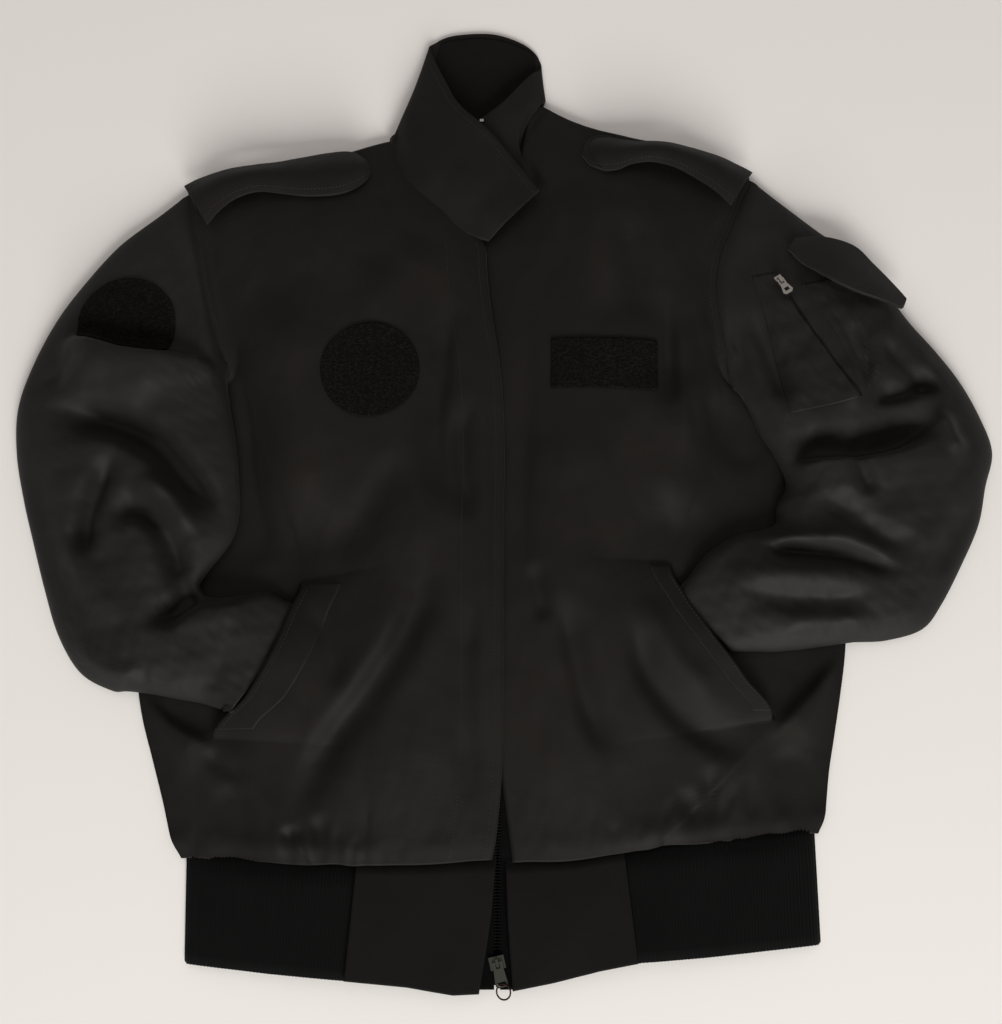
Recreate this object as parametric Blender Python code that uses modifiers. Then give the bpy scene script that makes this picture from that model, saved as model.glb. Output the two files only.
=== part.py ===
"""Pilot uniform jacket, laid flat on its back with the cuffs in its hand pockets.

X runs across the jacket, +Y towards the collar and +Z up from the surface it lies on. Sides are the
wearer's: _r is the wearer's right, at -X, and _l the wearer's left, at +X. Tables are in millimetres
on the laid-out plan, whose middle is PLAN_CENTRE, and each height is that of a wall's upper face.
"""

import math
from collections import namedtuple

import bmesh
import bpy
import numpy as np
from mathutils import Matrix, Vector
from mathutils.bvhtree import BVHTree

MM = 0.001
PLAN_CENTRE = (2.0, 27.9)

# Walls and clearances, mm
WALL = 2.0
RIB_WALL = 2.4
TAB_WALL = 2.6
THIN_WALL = 1.2
SEAM_GAP = 0.5
LAY_GAP = 0.9
SIDE_HEIGHT = 4.6
LOW_FACE = 17.0
LIP_FACE = 11.0

# Grids: how many steps each wall is drawn with
FRONT_STEPS_UP = 23
FRONT_STEPS_IN = 7
FRONT_STEPS_OUT = 4
SLEEVE_TOP = 10
SLEEVE_UNDER = 8
COLLAR_STEPS = 30
COLLAR_RISE = 4

# Hand pockets: the rows of the front tables between which the mouth is open, and how high it stands
MOUTH_ROWS = (3, 7)
MOUTH_HEIGHT = 20.0
WELT_WIDTH = {"r": 32.0, "l": 15.0}

# Sleeve tubes and cuffs
EDGE_HEIGHT = 5.0
BODY_REACH = 12.0
CUFF_REACH = 19.0
CROWN_REACH = 18.0
CUFF_LENGTH = 60.0
CUFF_INSET = 14.0
CUFF_TAPER = 8.0
CUFF_HEIGHT = 13.0

# Zips
TAPE_WIDTH = 16.0
TAPE_WALL = 1.0
TAPE_TOP_Y = 226.0
TAPE_STEP_Y = -284.5
TAPE_END_Y = -388.0
SLIDER_PLATE = 1.5
PULL_WALL = 1.4
BRIDGE = {"length": 6.0, "width": 2.2, "wall": 1.2, "window": 2.2}
MAIN_ZIP = {"x": -3.0, "y": -361.0, "heading": 13.0, "width": 12.0, "length": 10.0,
            "pull": 18.5, "pull_top": 8.0, "pull_end": 10.0, "plate_z": 8.9}
SLEEVE_ZIP = {"x": 237.0, "y": 195.5, "heading": 31.7, "width": 6.4, "length": 9.0,
              "pull": 14.0, "pull_top": 6.2, "pull_end": 9.5}
RING = {"radius": 5.9, "wire": 0.7, "tilt": 25.0, "hole": (6.4, 3.0), "from_end": 2.5}
TOP_STOP = {"x": -17.0, "y": 350.5, "z": 16.9, "size": (3.2, 2.4, 1.6)}

CHEST_PATCH = {"x": -109.0, "y": 113.0, "radius": 41.0}
SLEEVE_PATCH = {"x": -318.0, "y": 158.0, "radius": 42.0, "cut_y": 134.0}
NAME_PATCH = {"x": 86.5, "y": 119.5, "width": 89.0, "height": 44.0}

# A front, from the waist seam up to the shoulder: its centre edge, the crest of its padding, the line
# that the pocket mouth lies on, and its side, which turns into the armhole and then the shoulder.
FrontRow = namedtuple(
    "FrontRow",
    "edge_x edge_y edge_z crest_x crest_y crest_z mouth_x mouth_y mouth_z side_x side_y side_z",
)
FRONT_R = [
    FrontRow(-6, -283, 16, -75, -287, 22, -150, -286, 15, -253, -281, 4.6),
    FrontRow(-3, -268, 28, -80, -270, 33, -165, -270, 22, -262, -266, 4.6),
    FrontRow(-1, -240, 31, -88, -238, 37, -192, -236, 16, -270, -238, 4.6),
    FrontRow(1, -210, 33, -98, -198, 38, -231, -189, 10, -280, -205, 4.6),
    FrontRow(2, -165, 34, -94, -155, 39, -204, -155, 7, -290, -172, 4.6),
    FrontRow(2, -125, 35, -86, -120, 40, -185, -122, 7, -296, -140, 4.6),
    FrontRow(2, -85, 35, -80, -85, 40, -172, -88, 8, -299, -105, 4.6),
    FrontRow(2, -50, 35, -78, -52, 40, -163, -62, 15, -300, -70, 4.6),
    FrontRow(2, -10, 35, -84, -14, 40, -172, -20, 16, -300, -35, 4.6),
    FrontRow(3, 35, 34, -92, 30, 39, -186, 25, 15, -297, 5, 4.6),
    FrontRow(2, 80, 33, -100, 76, 39, -200, 72, 13, -288, 52, 4.6),
    FrontRow(-1, 120, 31, -108, 115, 38, -214, 106, 11, -266, 86, 4.6),
    FrontRow(-6, 155, 29, -112, 148, 37, -214, 135, 15, -236, 113, 7),
    FrontRow(-10, 185, 27, -116, 180, 36, -216, 165, 22, -244, 148, 15),
    FrontRow(-12, 210, 25, -122, 208, 35, -222, 198, 24, -254, 182, 18),
    FrontRow(-14, 232, 21, -130, 235, 34, -228, 228, 23, -261, 215, 18),
    FrontRow(-38, 245, 20, -140, 258, 31, -235, 255, 20, -267, 245, 15),
    FrontRow(-68, 268, 19, -152, 280, 26, -242, 276, 15, -271, 266, 12),
    FrontRow(-90, 300, 15, -162, 300, 18, -248, 290, 11, -273, 278, 9),
    FrontRow(-104, 330, 9, -172, 314, 9, -250, 298, 8, -275, 286, 7),
]
FRONT_L = [
    FrontRow(-4, -285, 13, 60, -283, 20, 128, -272, 15, 252, -262, 4.6),
    FrontRow(-4, -268, 20, 66, -268, 31, 140, -258, 22, 258, -248, 4.6),
    FrontRow(-4, -238, 24, 74, -232, 36, 180, -220, 15, 263, -215, 4.6),
    FrontRow(-4, -205, 26, 82, -195, 37, 218, -174, 10, 268, -190, 4.6),
    FrontRow(-4, -165, 27, 80, -155, 38, 196, -140, 7, 275, -155, 4.6),
    FrontRow(-4, -125, 28, 72, -118, 39, 172, -108, 7, 281, -120, 4.6),
    FrontRow(-4, -85, 28, 66, -80, 39, 152, -78, 8, 284, -85, 4.6),
    FrontRow(-4, -48, 28, 62, -46, 39, 138, -46, 16, 286, -50, 4.6),
    FrontRow(-4, -8, 28, 68, -8, 39, 152, -8, 16, 287, -12, 4.6),
    FrontRow(-4, 35, 27, 76, 34, 38, 170, 30, 14, 285, 25, 4.6),
    FrontRow(-4, 80, 26, 84, 76, 37, 184, 72, 12, 274, 66, 4.6),
    FrontRow(-4, 118, 24, 88, 112, 36, 188, 100, 11, 245, 86, 4.6),
    FrontRow(-4, 145, 22, 90, 138, 36, 180, 126, 15, 203, 100, 7),
    FrontRow(-4, 170, 20, 88, 164, 35, 172, 155, 21, 192, 138, 15),
    FrontRow(-4, 193, 18, 86, 188, 34, 168, 178, 24, 186, 168, 18),
    FrontRow(-4, 215, 16, 86, 212, 33, 168, 200, 24, 184, 195, 19),
    FrontRow(-4, 237, 14, 90, 236, 32, 172, 222, 22, 189, 224, 18),
    FrontRow(8, 262, 13, 98, 260, 30, 180, 243, 19, 198, 247, 15),
    FrontRow(27, 288, 12, 104, 280, 26, 190, 262, 16, 206, 266, 13),
    FrontRow(24, 314, 12, 104, 300, 22, 192, 282, 14, 212, 282, 11),
    FrontRow(36, 338, 10, 92, 320, 16, 186, 304, 12, 217, 292, 9),
    FrontRow(54, 355, 8, 80, 339, 10, 168, 324, 9, 219, 299, 7),
]
ARMHOLE_ROW = {"r": 12, "l": 12}

# A sleeve, from just past the armhole round the elbow to the pocket mouth: outer and inner fold.
SleeveRow = namedtuple("SleeveRow", "outer_x outer_y inner_x inner_y height")
SLEEVE_R = [
    SleeveRow(-304, 261, -231, 100, 22),
    SleeveRow(-333, 236, -227, 80, 25),
    SleeveRow(-360, 202, -223, 60, 27),
    SleeveRow(-382, 168, -220, 40, 28),
    SleeveRow(-400, 127, -218, 20, 28),
    SleeveRow(-410, 88, -217, 2, 28),
    SleeveRow(-408, 48, -218, -12, 28),
    SleeveRow(-399, 8, -222, -26, 28),
    SleeveRow(-389, -26, -229, -38, 27),
    SleeveRow(-376, -68, -236, -47, 27),
    SleeveRow(-362, -106, -243, -56, 26),
    SleeveRow(-342, -136, -247, -64, 26),
    SleeveRow(-316, -150, -243, -72, 25),
    SleeveRow(-302, -151, -238, -74, 25),
    SleeveRow(-279, -154, -226, -75, 24),
    SleeveRow(-258, -158, -210, -73, 23),
    SleeveRow(-241, -161, -192, -71, 21),
    SleeveRow(-228, -165, -172, -80, 18),
]
SLEEVE_L = [
    SleeveRow(246, 277, 208, 88, 22),
    SleeveRow(276, 251, 213, 75, 25),
    SleeveRow(304, 230, 219, 62, 27),
    SleeveRow(328, 203, 226, 50, 28),
    SleeveRow(350, 168, 231, 40, 28),
    SleeveRow(372, 140, 235, 31, 28),
    SleeveRow(391, 112, 237, 24, 29),
    SleeveRow(406, 80, 237, 17, 29),
    SleeveRow(414, 50, 234, 10, 29),
    SleeveRow(406, 20, 230, 4, 29),
    SleeveRow(398, -12, 228, -2, 28),
    SleeveRow(382, -45, 228, -9, 28),
    SleeveRow(362, -80, 226, -14, 27),
    SleeveRow(345, -100, 220, -17, 27),
    SleeveRow(316, -109, 208, -20, 26),
    SleeveRow(290, -111, 199, -22, 26),
    SleeveRow(268, -114, 189, -26, 25),
    SleeveRow(246, -117, 179, -32, 23),
    SleeveRow(224, -119, 166, -42, 21),
    SleeveRow(204, -119, 152, -60, 18),
]

# The collar, from the right-hand end of the left leaf's neighbour round the back to the upper leaf.
CollarRow = namedtuple("CollarRow", "neck_x neck_y neck_z top_x top_y top_z")
COLLAR = [
    CollarRow(-8, 252, 15, -24, 349, 15),
    CollarRow(14, 276, 16, -13, 357, 16),
    CollarRow(23, 300, 16, -1, 366, 17),
    CollarRow(16, 322, 16, 9, 377, 16),
    CollarRow(21, 346, 14.5, 17, 387, 14),
    CollarRow(33, 368, 11, 28, 400, 11),
    CollarRow(40, 376, 5.5, 36, 407, 5.5),
    CollarRow(33, 366, 0, 34, 420, 0),
    CollarRow(10, 347, 0, 20, 434, 0),
    CollarRow(-20, 344, 0, -7, 444, 0),
    CollarRow(-55, 343, 0, -40, 443, 0),
    CollarRow(-84, 342, 0, -57, 437, 0),
    CollarRow(-97, 341, 6, -65, 429, 5.5),
    CollarRow(-101, 328, 14, -60, 414, 12),
    CollarRow(-89, 296, 23, -48, 385, 20),
    CollarRow(-68, 267, 26, -36, 362, 24),
    CollarRow(-46, 251, 27, -10, 336, 26),
    CollarRow(-22, 238, 27, 16, 302, 26),
    CollarRow(-11, 234, 27, 33, 280, 26),
]
COLLAR_BACK = (7, 11)

# The rib knit of the waistband, from its right front end round the back to its left front end.
RibRow = namedtuple("RibRow", "seam_x hem_x z")
WAIST_RIB = [
    RibRow(-114, -122, 15),
    RibRow(-160, -164, 14),
    RibRow(-205, -205, 11),
    RibRow(-236, -234, 8.4),
    RibRow(-247, -245, 4.4),
    RibRow(-236, -234, 0),
    RibRow(-120, -120, 0),
    RibRow(0, 0, 0),
    RibRow(120, 120, 0),
    RibRow(236, 237, 0),
    RibRow(247, 248, 4.4),
    RibRow(236, 237, 8.4),
    RibRow(200, 201, 11),
    RibRow(150, 153, 14),
    RibRow(97, 107, 15),
]
HemPoint = namedtuple("HemPoint", "x y")
HEM = [HemPoint(-246, -362), HemPoint(-181, -369), HemPoint(-125, -374), HemPoint(-73, -379),
       HemPoint(-37, -385), HemPoint(-14, -384), HemPoint(9, -382), HemPoint(40, -376),
       HemPoint(77, -367), HemPoint(109, -361), HemPoint(160, -357), HemPoint(248, -348)]
TabRow = namedtuple("TabRow", "part inner_x outer_x")
TAB_R = [TabRow(0.0, -3.5, -113), TabRow(0.5, -8.5, -117), TabRow(1.0, -17, -121)]
TAB_L = [TabRow(0.0, 3.5, 96), TabRow(0.5, 5.5, 101), TabRow(1.0, 9, 106)]
TAB_HEIGHT = {"inner": 12.0, "outer": 15.0}

# Shoulder straps: front edge, back edge, and how high they arch between.
StrapRow = namedtuple("StrapRow", "front_x front_y front_z back_x back_y back_z arch")
EPAULETTE_R = [
    StrapRow(-253, 248, 24, -277, 289, 10, 8),
    StrapRow(-243, 260, 26, -263, 297, 10, 9),
    StrapRow(-229, 271, 27, -240, 305, 10, 10),
    StrapRow(-210, 277, 28, -218, 309, 10, 10),
    StrapRow(-190, 275, 29, -196, 312, 10, 10),
    StrapRow(-168, 272, 30, -175, 316, 10, 10),
    StrapRow(-147, 273, 29, -153, 320, 10, 10),
    StrapRow(-131, 278, 27, -134, 322, 10, 9),
    StrapRow(-120, 287, 24, -122, 316, 12, 7),
    StrapRow(-115, 297, 21, -116, 306, 14, 3),
]
EPAULETTE_L = [
    StrapRow(199, 266, 24, 220, 302, 10, 8),
    StrapRow(184, 280, 26, 208, 309, 10, 9),
    StrapRow(165, 293, 27, 188, 319, 10, 9),
    StrapRow(147, 302, 27, 166, 326, 10, 9),
    StrapRow(130, 306, 27, 146, 331, 10, 9),
    StrapRow(114, 304, 27, 126, 332, 10, 9),
    StrapRow(102, 299, 26, 108, 334, 10, 9),
    StrapRow(89, 298, 25, 91, 337, 10, 8),
    StrapRow(78, 302, 22, 80, 334, 12, 6),
    StrapRow(71, 313, 18, 72, 322, 14, 3),
]

# Pocket on the left sleeve: opposite edges of each piece, and how far it stands off the sleeve.
EdgeRow = namedtuple("EdgeRow", "left_x left_y left_lift right_x right_y right_lift")
SLEEVE_POCKET = [
    EdgeRow(215, 203, 1.5, 236, 206, 1.5),
    EdgeRow(226, 158, 1.5, 262, 153, 1.5),
    EdgeRow(236, 110, 1.5, 284, 117, 1.5),
    EdgeRow(241, 78, 1.5, 299, 91, 1.5),
]
PEN_POCKET = [
    EdgeRow(256, 194, 1.8, 296, 200, 1.8),
    EdgeRow(276, 160, 1.8, 310, 162, 1.8),
    EdgeRow(294, 126, 1.8, 316, 132, 1.8),
    EdgeRow(307, 100, 1.8, 318, 110, 1.8),
]
PEN_FLAP = [
    EdgeRow(255, 227, 4, 254, 233, 2),
    EdgeRow(266, 213, 6, 273, 231, 3),
    EdgeRow(284, 195, 7, 300, 221, 3),
    EdgeRow(312, 177, 7, 324, 198, 3),
    EdgeRow(341, 171, 5, 346, 177, 3),
]

# Inner layers of the hand pockets, flat under the cuffs.
BAG_Z = 2.4
BAG_R = [(-174, -64), (-112, -84), (-92, -140), (-100, -210), (-150, -232), (-206, -222),
         (-236, -192), (-210, -155), (-191, -121), (-178, -88)]
BAG_L = [(148, -46), (92, -64), (72, -120), (80, -196), (130, -220), (190, -208),
         (222, -176), (202, -141), (179, -108), (159, -78)]

# The largest folds: a trough from one end to the other, how wide and deep it is.
Fold = namedtuple("Fold", "from_x from_y to_x to_y bend width depth")
FOLDS = [
    Fold(-50, 110, -44, -10, 10, 11, 5),
    Fold(-70, 45, -140, -48, 10, 18, 4),
    Fold(-66, -40, -120, -175, -8, 15, 6),
    Fold(-204, 124, -180, 40, 4, 12, 5),
    Fold(142, 180, 141, 85, 3, 12, 4),
    Fold(30, -60, 72, -205, 8, 14, 4),
    Fold(100, -92, 170, -195, 8, 16, 5),
    Fold(-385, 92, -226, 10, -28, 13, 8),
    Fold(-330, 60, -352, -36, 6, 12, 6),
    Fold(-322, 2, -252, -44, -14, 12, 7),
    Fold(244, 48, 368, 90, 8, 12, 9),
    Fold(212, -40, 345, -46, -3, 12, 9),
    Fold(192, -66, 300, -73, 0, 11, 4),
]

Finish = namedtuple("Finish", "colour roughness metallic")
FINISHES = {
    "twill_cloth": Finish((0.017, 0.016, 0.016), 0.75, 0.0),
    "rib_knit": Finish((0.010, 0.010, 0.011), 0.9, 0.0),
    "collar_lining_cloth": Finish((0.007, 0.007, 0.008), 0.85, 0.0),
    "loop_pile": Finish((0.006, 0.006, 0.006), 0.95, 0.0),
    "zip_tape_cloth": Finish((0.012, 0.012, 0.012), 0.8, 0.0),
    "painted_zinc": Finish((0.030, 0.031, 0.028), 0.45, 0.6),
    "bright_nickel": Finish((0.55, 0.54, 0.52), 0.25, 1.0),
    "bronze_wire": Finish((0.050, 0.030, 0.022), 0.4, 0.8),
}


def make_materials():
    """One Principled material for each finish."""
    made = {}
    for name, finish in FINISHES.items():
        material = bpy.data.materials.new(name)
        material.use_nodes = True
        shader = material.node_tree.nodes["Principled BSDF"]
        shader.inputs["Base Color"].default_value = (*finish.colour, 1.0)
        shader.inputs["Roughness"].default_value = finish.roughness
        shader.inputs["Metallic"].default_value = finish.metallic
        made[name] = material
    return made


def to_world(point):
    """A plan point in millimetres as a place in metres, with the origin under the jacket's middle."""
    x, y, z = point
    return Vector(((x - PLAN_CENTRE[0]) * MM, (y - PLAN_CENTRE[1]) * MM, z * MM))


def eased(table, at):
    """Each column of a table read between its rows, as a smooth curve through them."""
    values = np.asarray(table, float)
    slopes = np.gradient(values, axis=0)
    at = np.asarray(at, float)
    row = np.clip(np.floor(at).astype(int), 0, len(values) - 2)
    t = (at - row)[:, None]
    start = (1 + 2 * t) * (1 - t) ** 2 * values[row] + t * (1 - t) ** 2 * slopes[row]
    end = t**2 * (3 - 2 * t) * values[row + 1] + t**2 * (t - 1) * slopes[row + 1]
    return start + end


def fold_depth(x, y):
    """How far the large folds pull the cloth down at a plan point."""
    depth = 0.0
    for fold in FOLDS:
        start = Vector((fold.from_x, fold.from_y))
        along = Vector((fold.to_x, fold.to_y)) - start
        length = along.length
        along.normalize()
        across = Vector((-along.y, along.x))
        offset = Vector((x, y)) - start
        t = offset.dot(along) / length
        if not 0 < t < 1:
            continue
        sideways = offset.dot(across) - fold.bend * math.sin(math.pi * t)
        depth += fold.depth * math.sin(math.pi * t) ** 0.7 * math.exp(-((sideways / fold.width) ** 2))
    return depth


class Jacket:
    """The collection that the pieces go in, and the surfaces that later pieces are laid on."""

    def __init__(self):
        self.materials = make_materials()
        self.parts = bpy.data.collections.new("pilot_uniform_jacket")
        bpy.context.scene.collection.children.link(self.parts)

    def add(self, name, data, finish):
        data.materials.append(self.materials[finish])
        item = bpy.data.objects.new(name, data)
        self.parts.objects.link(item)
        return item

    def wall(self, name, grid, finish, thickness, closed=False, slit=None, upwards=False):
        """A cloth wall over a grid of plan points, rows by columns.

        closed joins the last column to the first, as round a tube. slit gives a column and the rows
        between which the wall is cut along it, with the other lip's points. upwards puts the
        thickness above the grid, as on a patch.
        """
        mesh = bmesh.new()
        rows, columns = len(grid), len(grid[0])
        points = [[mesh.verts.new(to_world(p)) for p in row] for row in grid]
        lower = {}
        if slit:
            for row, point in slit["points"].items():
                lower[row] = mesh.verts.new(to_world(point))
        for row in range(rows - 1):
            for column in range(columns if closed else columns - 1):
                after = (column + 1) % columns
                first, last = points[row][column], points[row + 1][column]
                if slit and column == slit["column"]:
                    first, last = lower.get(row, first), lower.get(row + 1, last)
                mesh.faces.new((first, points[row][after], points[row + 1][after], last))
        bmesh.ops.recalc_face_normals(mesh, faces=mesh.faces)
        top = max(mesh.faces, key=lambda face: face.calc_center_median().z)
        if top.normal.z < 0:
            bmesh.ops.reverse_faces(mesh, faces=mesh.faces)
        data = bpy.data.meshes.new(name)
        mesh.to_mesh(data)
        mesh.free()
        data.shade_smooth()
        item = self.add(name, data, finish)
        solid = item.modifiers.new("thickness", "SOLIDIFY")
        solid.thickness = thickness * MM
        solid.offset = 1.0 if upwards else -1.0
        return item

    def flat(self, name, outline, z, thickness, finish, holes=()):
        """A flat piece cut to an outline in the plan."""
        curve = bpy.data.curves.new(name, "CURVE")
        curve.dimensions = "2D"
        curve.fill_mode = "BOTH"
        curve.extrude = thickness * MM / 2
        for points in (outline, *holes):
            spline = curve.splines.new("POLY")
            spline.points.add(len(points) - 1)
            for point, (x, y) in zip(spline.points, points):
                place = to_world((x, y, 0))
                point.co = (place.x, place.y, 0, 1)
            spline.use_cyclic_u = True
        item = self.add(name, curve, finish)
        item.location.z = (z + thickness / 2) * MM
        return item


class Ground:
    """The upper faces of pieces already made, for the next piece to lie on."""

    def __init__(self, items, below=None, reach=BODY_REACH):
        """Keep the items' faces, or only those whose middles are lower than below, in mm.

        reach is how far round a point a seat looks.
        """
        self.reach = reach
        bpy.context.view_layer.update()
        graph = bpy.context.evaluated_depsgraph_get()
        points, faces = [], []
        for item in items:
            mesh = item.evaluated_get(graph).to_mesh()
            start = len(points)
            points += [item.matrix_world @ vertex.co for vertex in mesh.vertices]
            for face in mesh.polygons:
                if below is None or face.center.z + item.location.z < below * MM:
                    faces.append([start + index for index in face.vertices])
        self.tree = BVHTree.FromPolygons(points, faces)

    def at(self, x, y):
        """The height of the highest face over a plan point, or 0."""
        hit = self.tree.ray_cast(to_world((x, y, 500)), Vector((0, 0, -1)))[0]
        return hit.z / MM if hit else 0.0

    def around(self, x, y, reach):
        """The highest face within reach of a plan point."""
        heights = [self.at(x, y)]
        for ring in (0.5, 1.0):
            for step in range(8):
                angle = math.tau * step / 8
                heights.append(
                    self.at(x + ring * reach * math.cos(angle), y + ring * reach * math.sin(angle))
                )
        return max(heights)

    def seat(self, x, y):
        """The height for a piece that lies on the highest face near a plan point."""
        height = self.around(x, y, self.reach)
        return height + LAY_GAP if height else 0.0

    def smooth(self, x, y):
        """The seat's height averaged over a wider patch, for the cloth above it."""
        heights = [self.seat(x, y)]
        for step in range(6):
            angle = math.tau * step / 6
            heights.append(self.seat(x + CROWN_REACH * math.cos(angle), y + CROWN_REACH * math.sin(angle)))
        return sum(heights) / len(heights)


def make_front(jacket, side, table):
    """One front, cut open along its pocket mouth so that the inner lip stands over the cuff."""
    last = len(table) - 1
    stations = np.unique(np.append(np.linspace(0, last, FRONT_STEPS_UP), MOUTH_ROWS))
    low, high = MOUTH_ROWS
    grid, lower = [], {}
    for index, values in enumerate(eased(table, stations)):
        row = FrontRow(*values)
        opening = (stations[index] - low) / (high - low)
        lift = MOUTH_HEIGHT * math.sin(math.pi * opening) ** 0.5 if 0.001 < opening < 0.999 else 0.0
        guides = np.reshape(values[:9], (3, 3)).copy()
        guides[2, 2] += lift
        line = list(eased(guides, np.linspace(0, 2, FRONT_STEPS_IN + 1)))
        if lift:
            lower[index] = (row.mouth_x, row.mouth_y, row.mouth_z)
        for step in range(1, FRONT_STEPS_OUT + 1):
            t = step / FRONT_STEPS_OUT
            x = row.mouth_x + (row.side_x - row.mouth_x) * t
            y = row.mouth_y + (row.side_y - row.mouth_y) * t
            line.append((x, y, row.side_z + (row.mouth_z - row.side_z) * (1 - t) ** 3))
        for step in range(1, FRONT_STEPS_IN):
            x, y, z = line[step]
            line[step] = (x, y, z - fold_depth(x, y))
        grid.append(line)
    slit = {"column": FRONT_STEPS_IN, "points": lower}
    return jacket.wall(f"front_{side}", grid, "twill_cloth", WALL, slit=slit)


def side_line(table):
    """A front's side and armhole, from the waist up to the shoulder."""
    edge = [(row.side_x, row.side_y) for row in table]
    return [tuple(point) for point in eased(edge, np.linspace(0, len(table) - 1, 2 * len(table) - 1))]


def back_outline():
    """The outline of the back: both fronts' sides and shoulders, joined across the neck."""
    right = side_line(FRONT_R)
    right += [(FRONT_R[-1].mouth_x, FRONT_R[-1].mouth_y), (FRONT_R[-1].crest_x, FRONT_R[-1].crest_y)]
    first, last = COLLAR_BACK
    neck = [(row.neck_x, row.neck_y - 3) for row in reversed(COLLAR[first : last + 1])]
    left = [(FRONT_L[-1].crest_x, FRONT_L[-1].crest_y), (FRONT_L[-1].mouth_x, FRONT_L[-1].mouth_y)]
    left += reversed(side_line(FRONT_L))
    waist = np.reshape(FRONT_L[0], (4, 3))[2::-1, :2].tolist() + np.reshape(FRONT_R[0], (4, 3))[:3, :2].tolist()
    return right + neck + left + waist


def bulge(t):
    """The crown of a flattened tube across its width, 0 at both folds and 1 between."""
    return (1 - abs(2 * t - 1) ** 2.6) ** 0.6


def under_steps(step_in, drop):
    """Where a tube's underside has its points: up on the body as far as step_in, then down beside it."""
    return [*np.linspace(0.98, step_in, SLEEVE_UNDER - 4),
            *np.linspace(max(step_in - drop, 0.04), 0.02, 4)]


def tube_ring(outer, inner, height, ground):
    """One ring round a flattened tube: over its crown from outer to inner fold, and back below."""
    ring = []
    for step in range(SLEEVE_TOP + 1):
        t = (1 - math.cos(math.pi * step / SLEEVE_TOP)) / 2
        x, y = outer.lerp(inner, t)
        crown = EDGE_HEIGHT + (height - EDGE_HEIGHT) * bulge(t)
        crown = ground.smooth(x, y) + max(crown - fold_depth(x, y), EDGE_HEIGHT)
        ring.append((x, y, max(crown, ground.seat(x, y) + EDGE_HEIGHT)))
    scan = [t for t in np.linspace(0.06, 0.96, 91) if ground.seat(*outer.lerp(inner, t))]
    for t in under_steps(min(scan, default=0.6), 5.0 / (inner - outer).length):
        x, y = outer.lerp(inner, t)
        ring.append((x, y, ground.seat(x, y)))
    return ring


def gusset(t):
    """How far outside the armhole the sleeve's seam is, from the shoulder to under the arm."""
    return SEAM_GAP * 3 + 3.4 * max(0.0, (t - 0.7) / 0.3)


def armhole_ring(table, side, sign):
    """The ring at the armhole seam, just outside the edge of the front and of the back."""
    first, last = ARMHOLE_ROW[side], len(table) - 1
    edge = [(row.side_x, row.side_y, row.side_z) for row in table]
    ring = []
    for step in range(SLEEVE_TOP + 1):
        t = (1 - math.cos(math.pi * step / SLEEVE_TOP)) / 2
        x, y, z = eased(edge, [last + (first - last) * t])[0]
        ring.append((x + sign * gusset(t), y, z + 8.0 * max(0.0, (t - 0.88) / 0.12)))
    for t in under_steps(0.85, 0.03):
        x, y, _ = eased(edge, [last + (first - last) * t])[0]
        ring.append((x + sign * gusset(t), y, 12.0 * max(0.0, (t - 0.82) / 0.16)))
    return ring


def make_sleeve(jacket, side, table, front_table, ground, sign):
    """A sleeve: an open tube of rings from the armhole to its end at the pocket mouth."""
    grid = [armhole_ring(front_table, side, sign)]
    for row in table:
        outer, inner = Vector((row.outer_x, row.outer_y)), Vector((row.inner_x, row.inner_y))
        grid.append(tube_ring(outer, inner, row.height, ground))
    return jacket.wall(f"sleeve_{side}", grid, "twill_cloth", WALL, closed=True)


def make_cuff(jacket, side, end, ground, sign):
    """A knit cuff on a sleeve's end, running on into the pocket."""
    outer, inner = Vector((end.outer_x, end.outer_y)), Vector((end.inner_x, end.inner_y))
    along = (inner - outer).normalized()
    inward = Vector((along.y, -along.x)) * -sign
    grid = []
    for t in (0.0, 0.2, 0.45, 0.7, 1.0):
        inset = along * (CUFF_INSET + CUFF_TAPER * t)
        shift = inward * (SEAM_GAP * 2 + CUFF_LENGTH * t)
        grid.append(tube_ring(outer + inset + shift, inner - inset + shift, CUFF_HEIGHT, ground))
    return jacket.wall(f"cuff_{side}", grid, "rib_knit", WALL, closed=True)


def make_collar(jacket):
    """The turned-up collar: one wall from the lower leaf round the back to the upper leaf."""
    grid = []
    for values in eased(COLLAR, np.linspace(0, len(COLLAR) - 1, COLLAR_STEPS)):
        neck, top = Vector(values[:3]), Vector(values[3:])
        line = []
        for step in range(COLLAR_RISE + 1):
            point = neck.lerp(top, step / COLLAR_RISE)
            line.append((point.x, point.y, max(point.z, 0.0)))
        grid.append(line)
    jacket.wall("collar", grid, "twill_cloth", WALL)

    first, last = COLLAR_BACK
    lining = []
    for values in eased(COLLAR, np.linspace(first + 0.3, last - 0.3, 9)):
        neck, top = Vector(values[:2]), Vector(values[3:5])
        line = [neck.lerp(top, t) for t in np.linspace(0.04, 0.95, 6)]
        lining.append([(point.x, point.y, WALL + 1.5) for point in line])
    jacket.wall("collar_lining", lining, "collar_lining_cloth", 1.0)


def waist_y(x):
    """Where the waist seam is along the front, just below the fronts' lower edges."""
    seam = []
    for row in (FRONT_R[0], FRONT_L[0]):
        seam += np.reshape(row, (4, 3))[:, :2].tolist()
    seam.sort()
    return float(np.interp(x, [p[0] for p in seam], [p[1] for p in seam])) - 2.2


def hem_y(x):
    """Where the hem is along the front."""
    return float(np.interp(x, [p.x for p in HEM], [p.y for p in HEM]))


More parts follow.
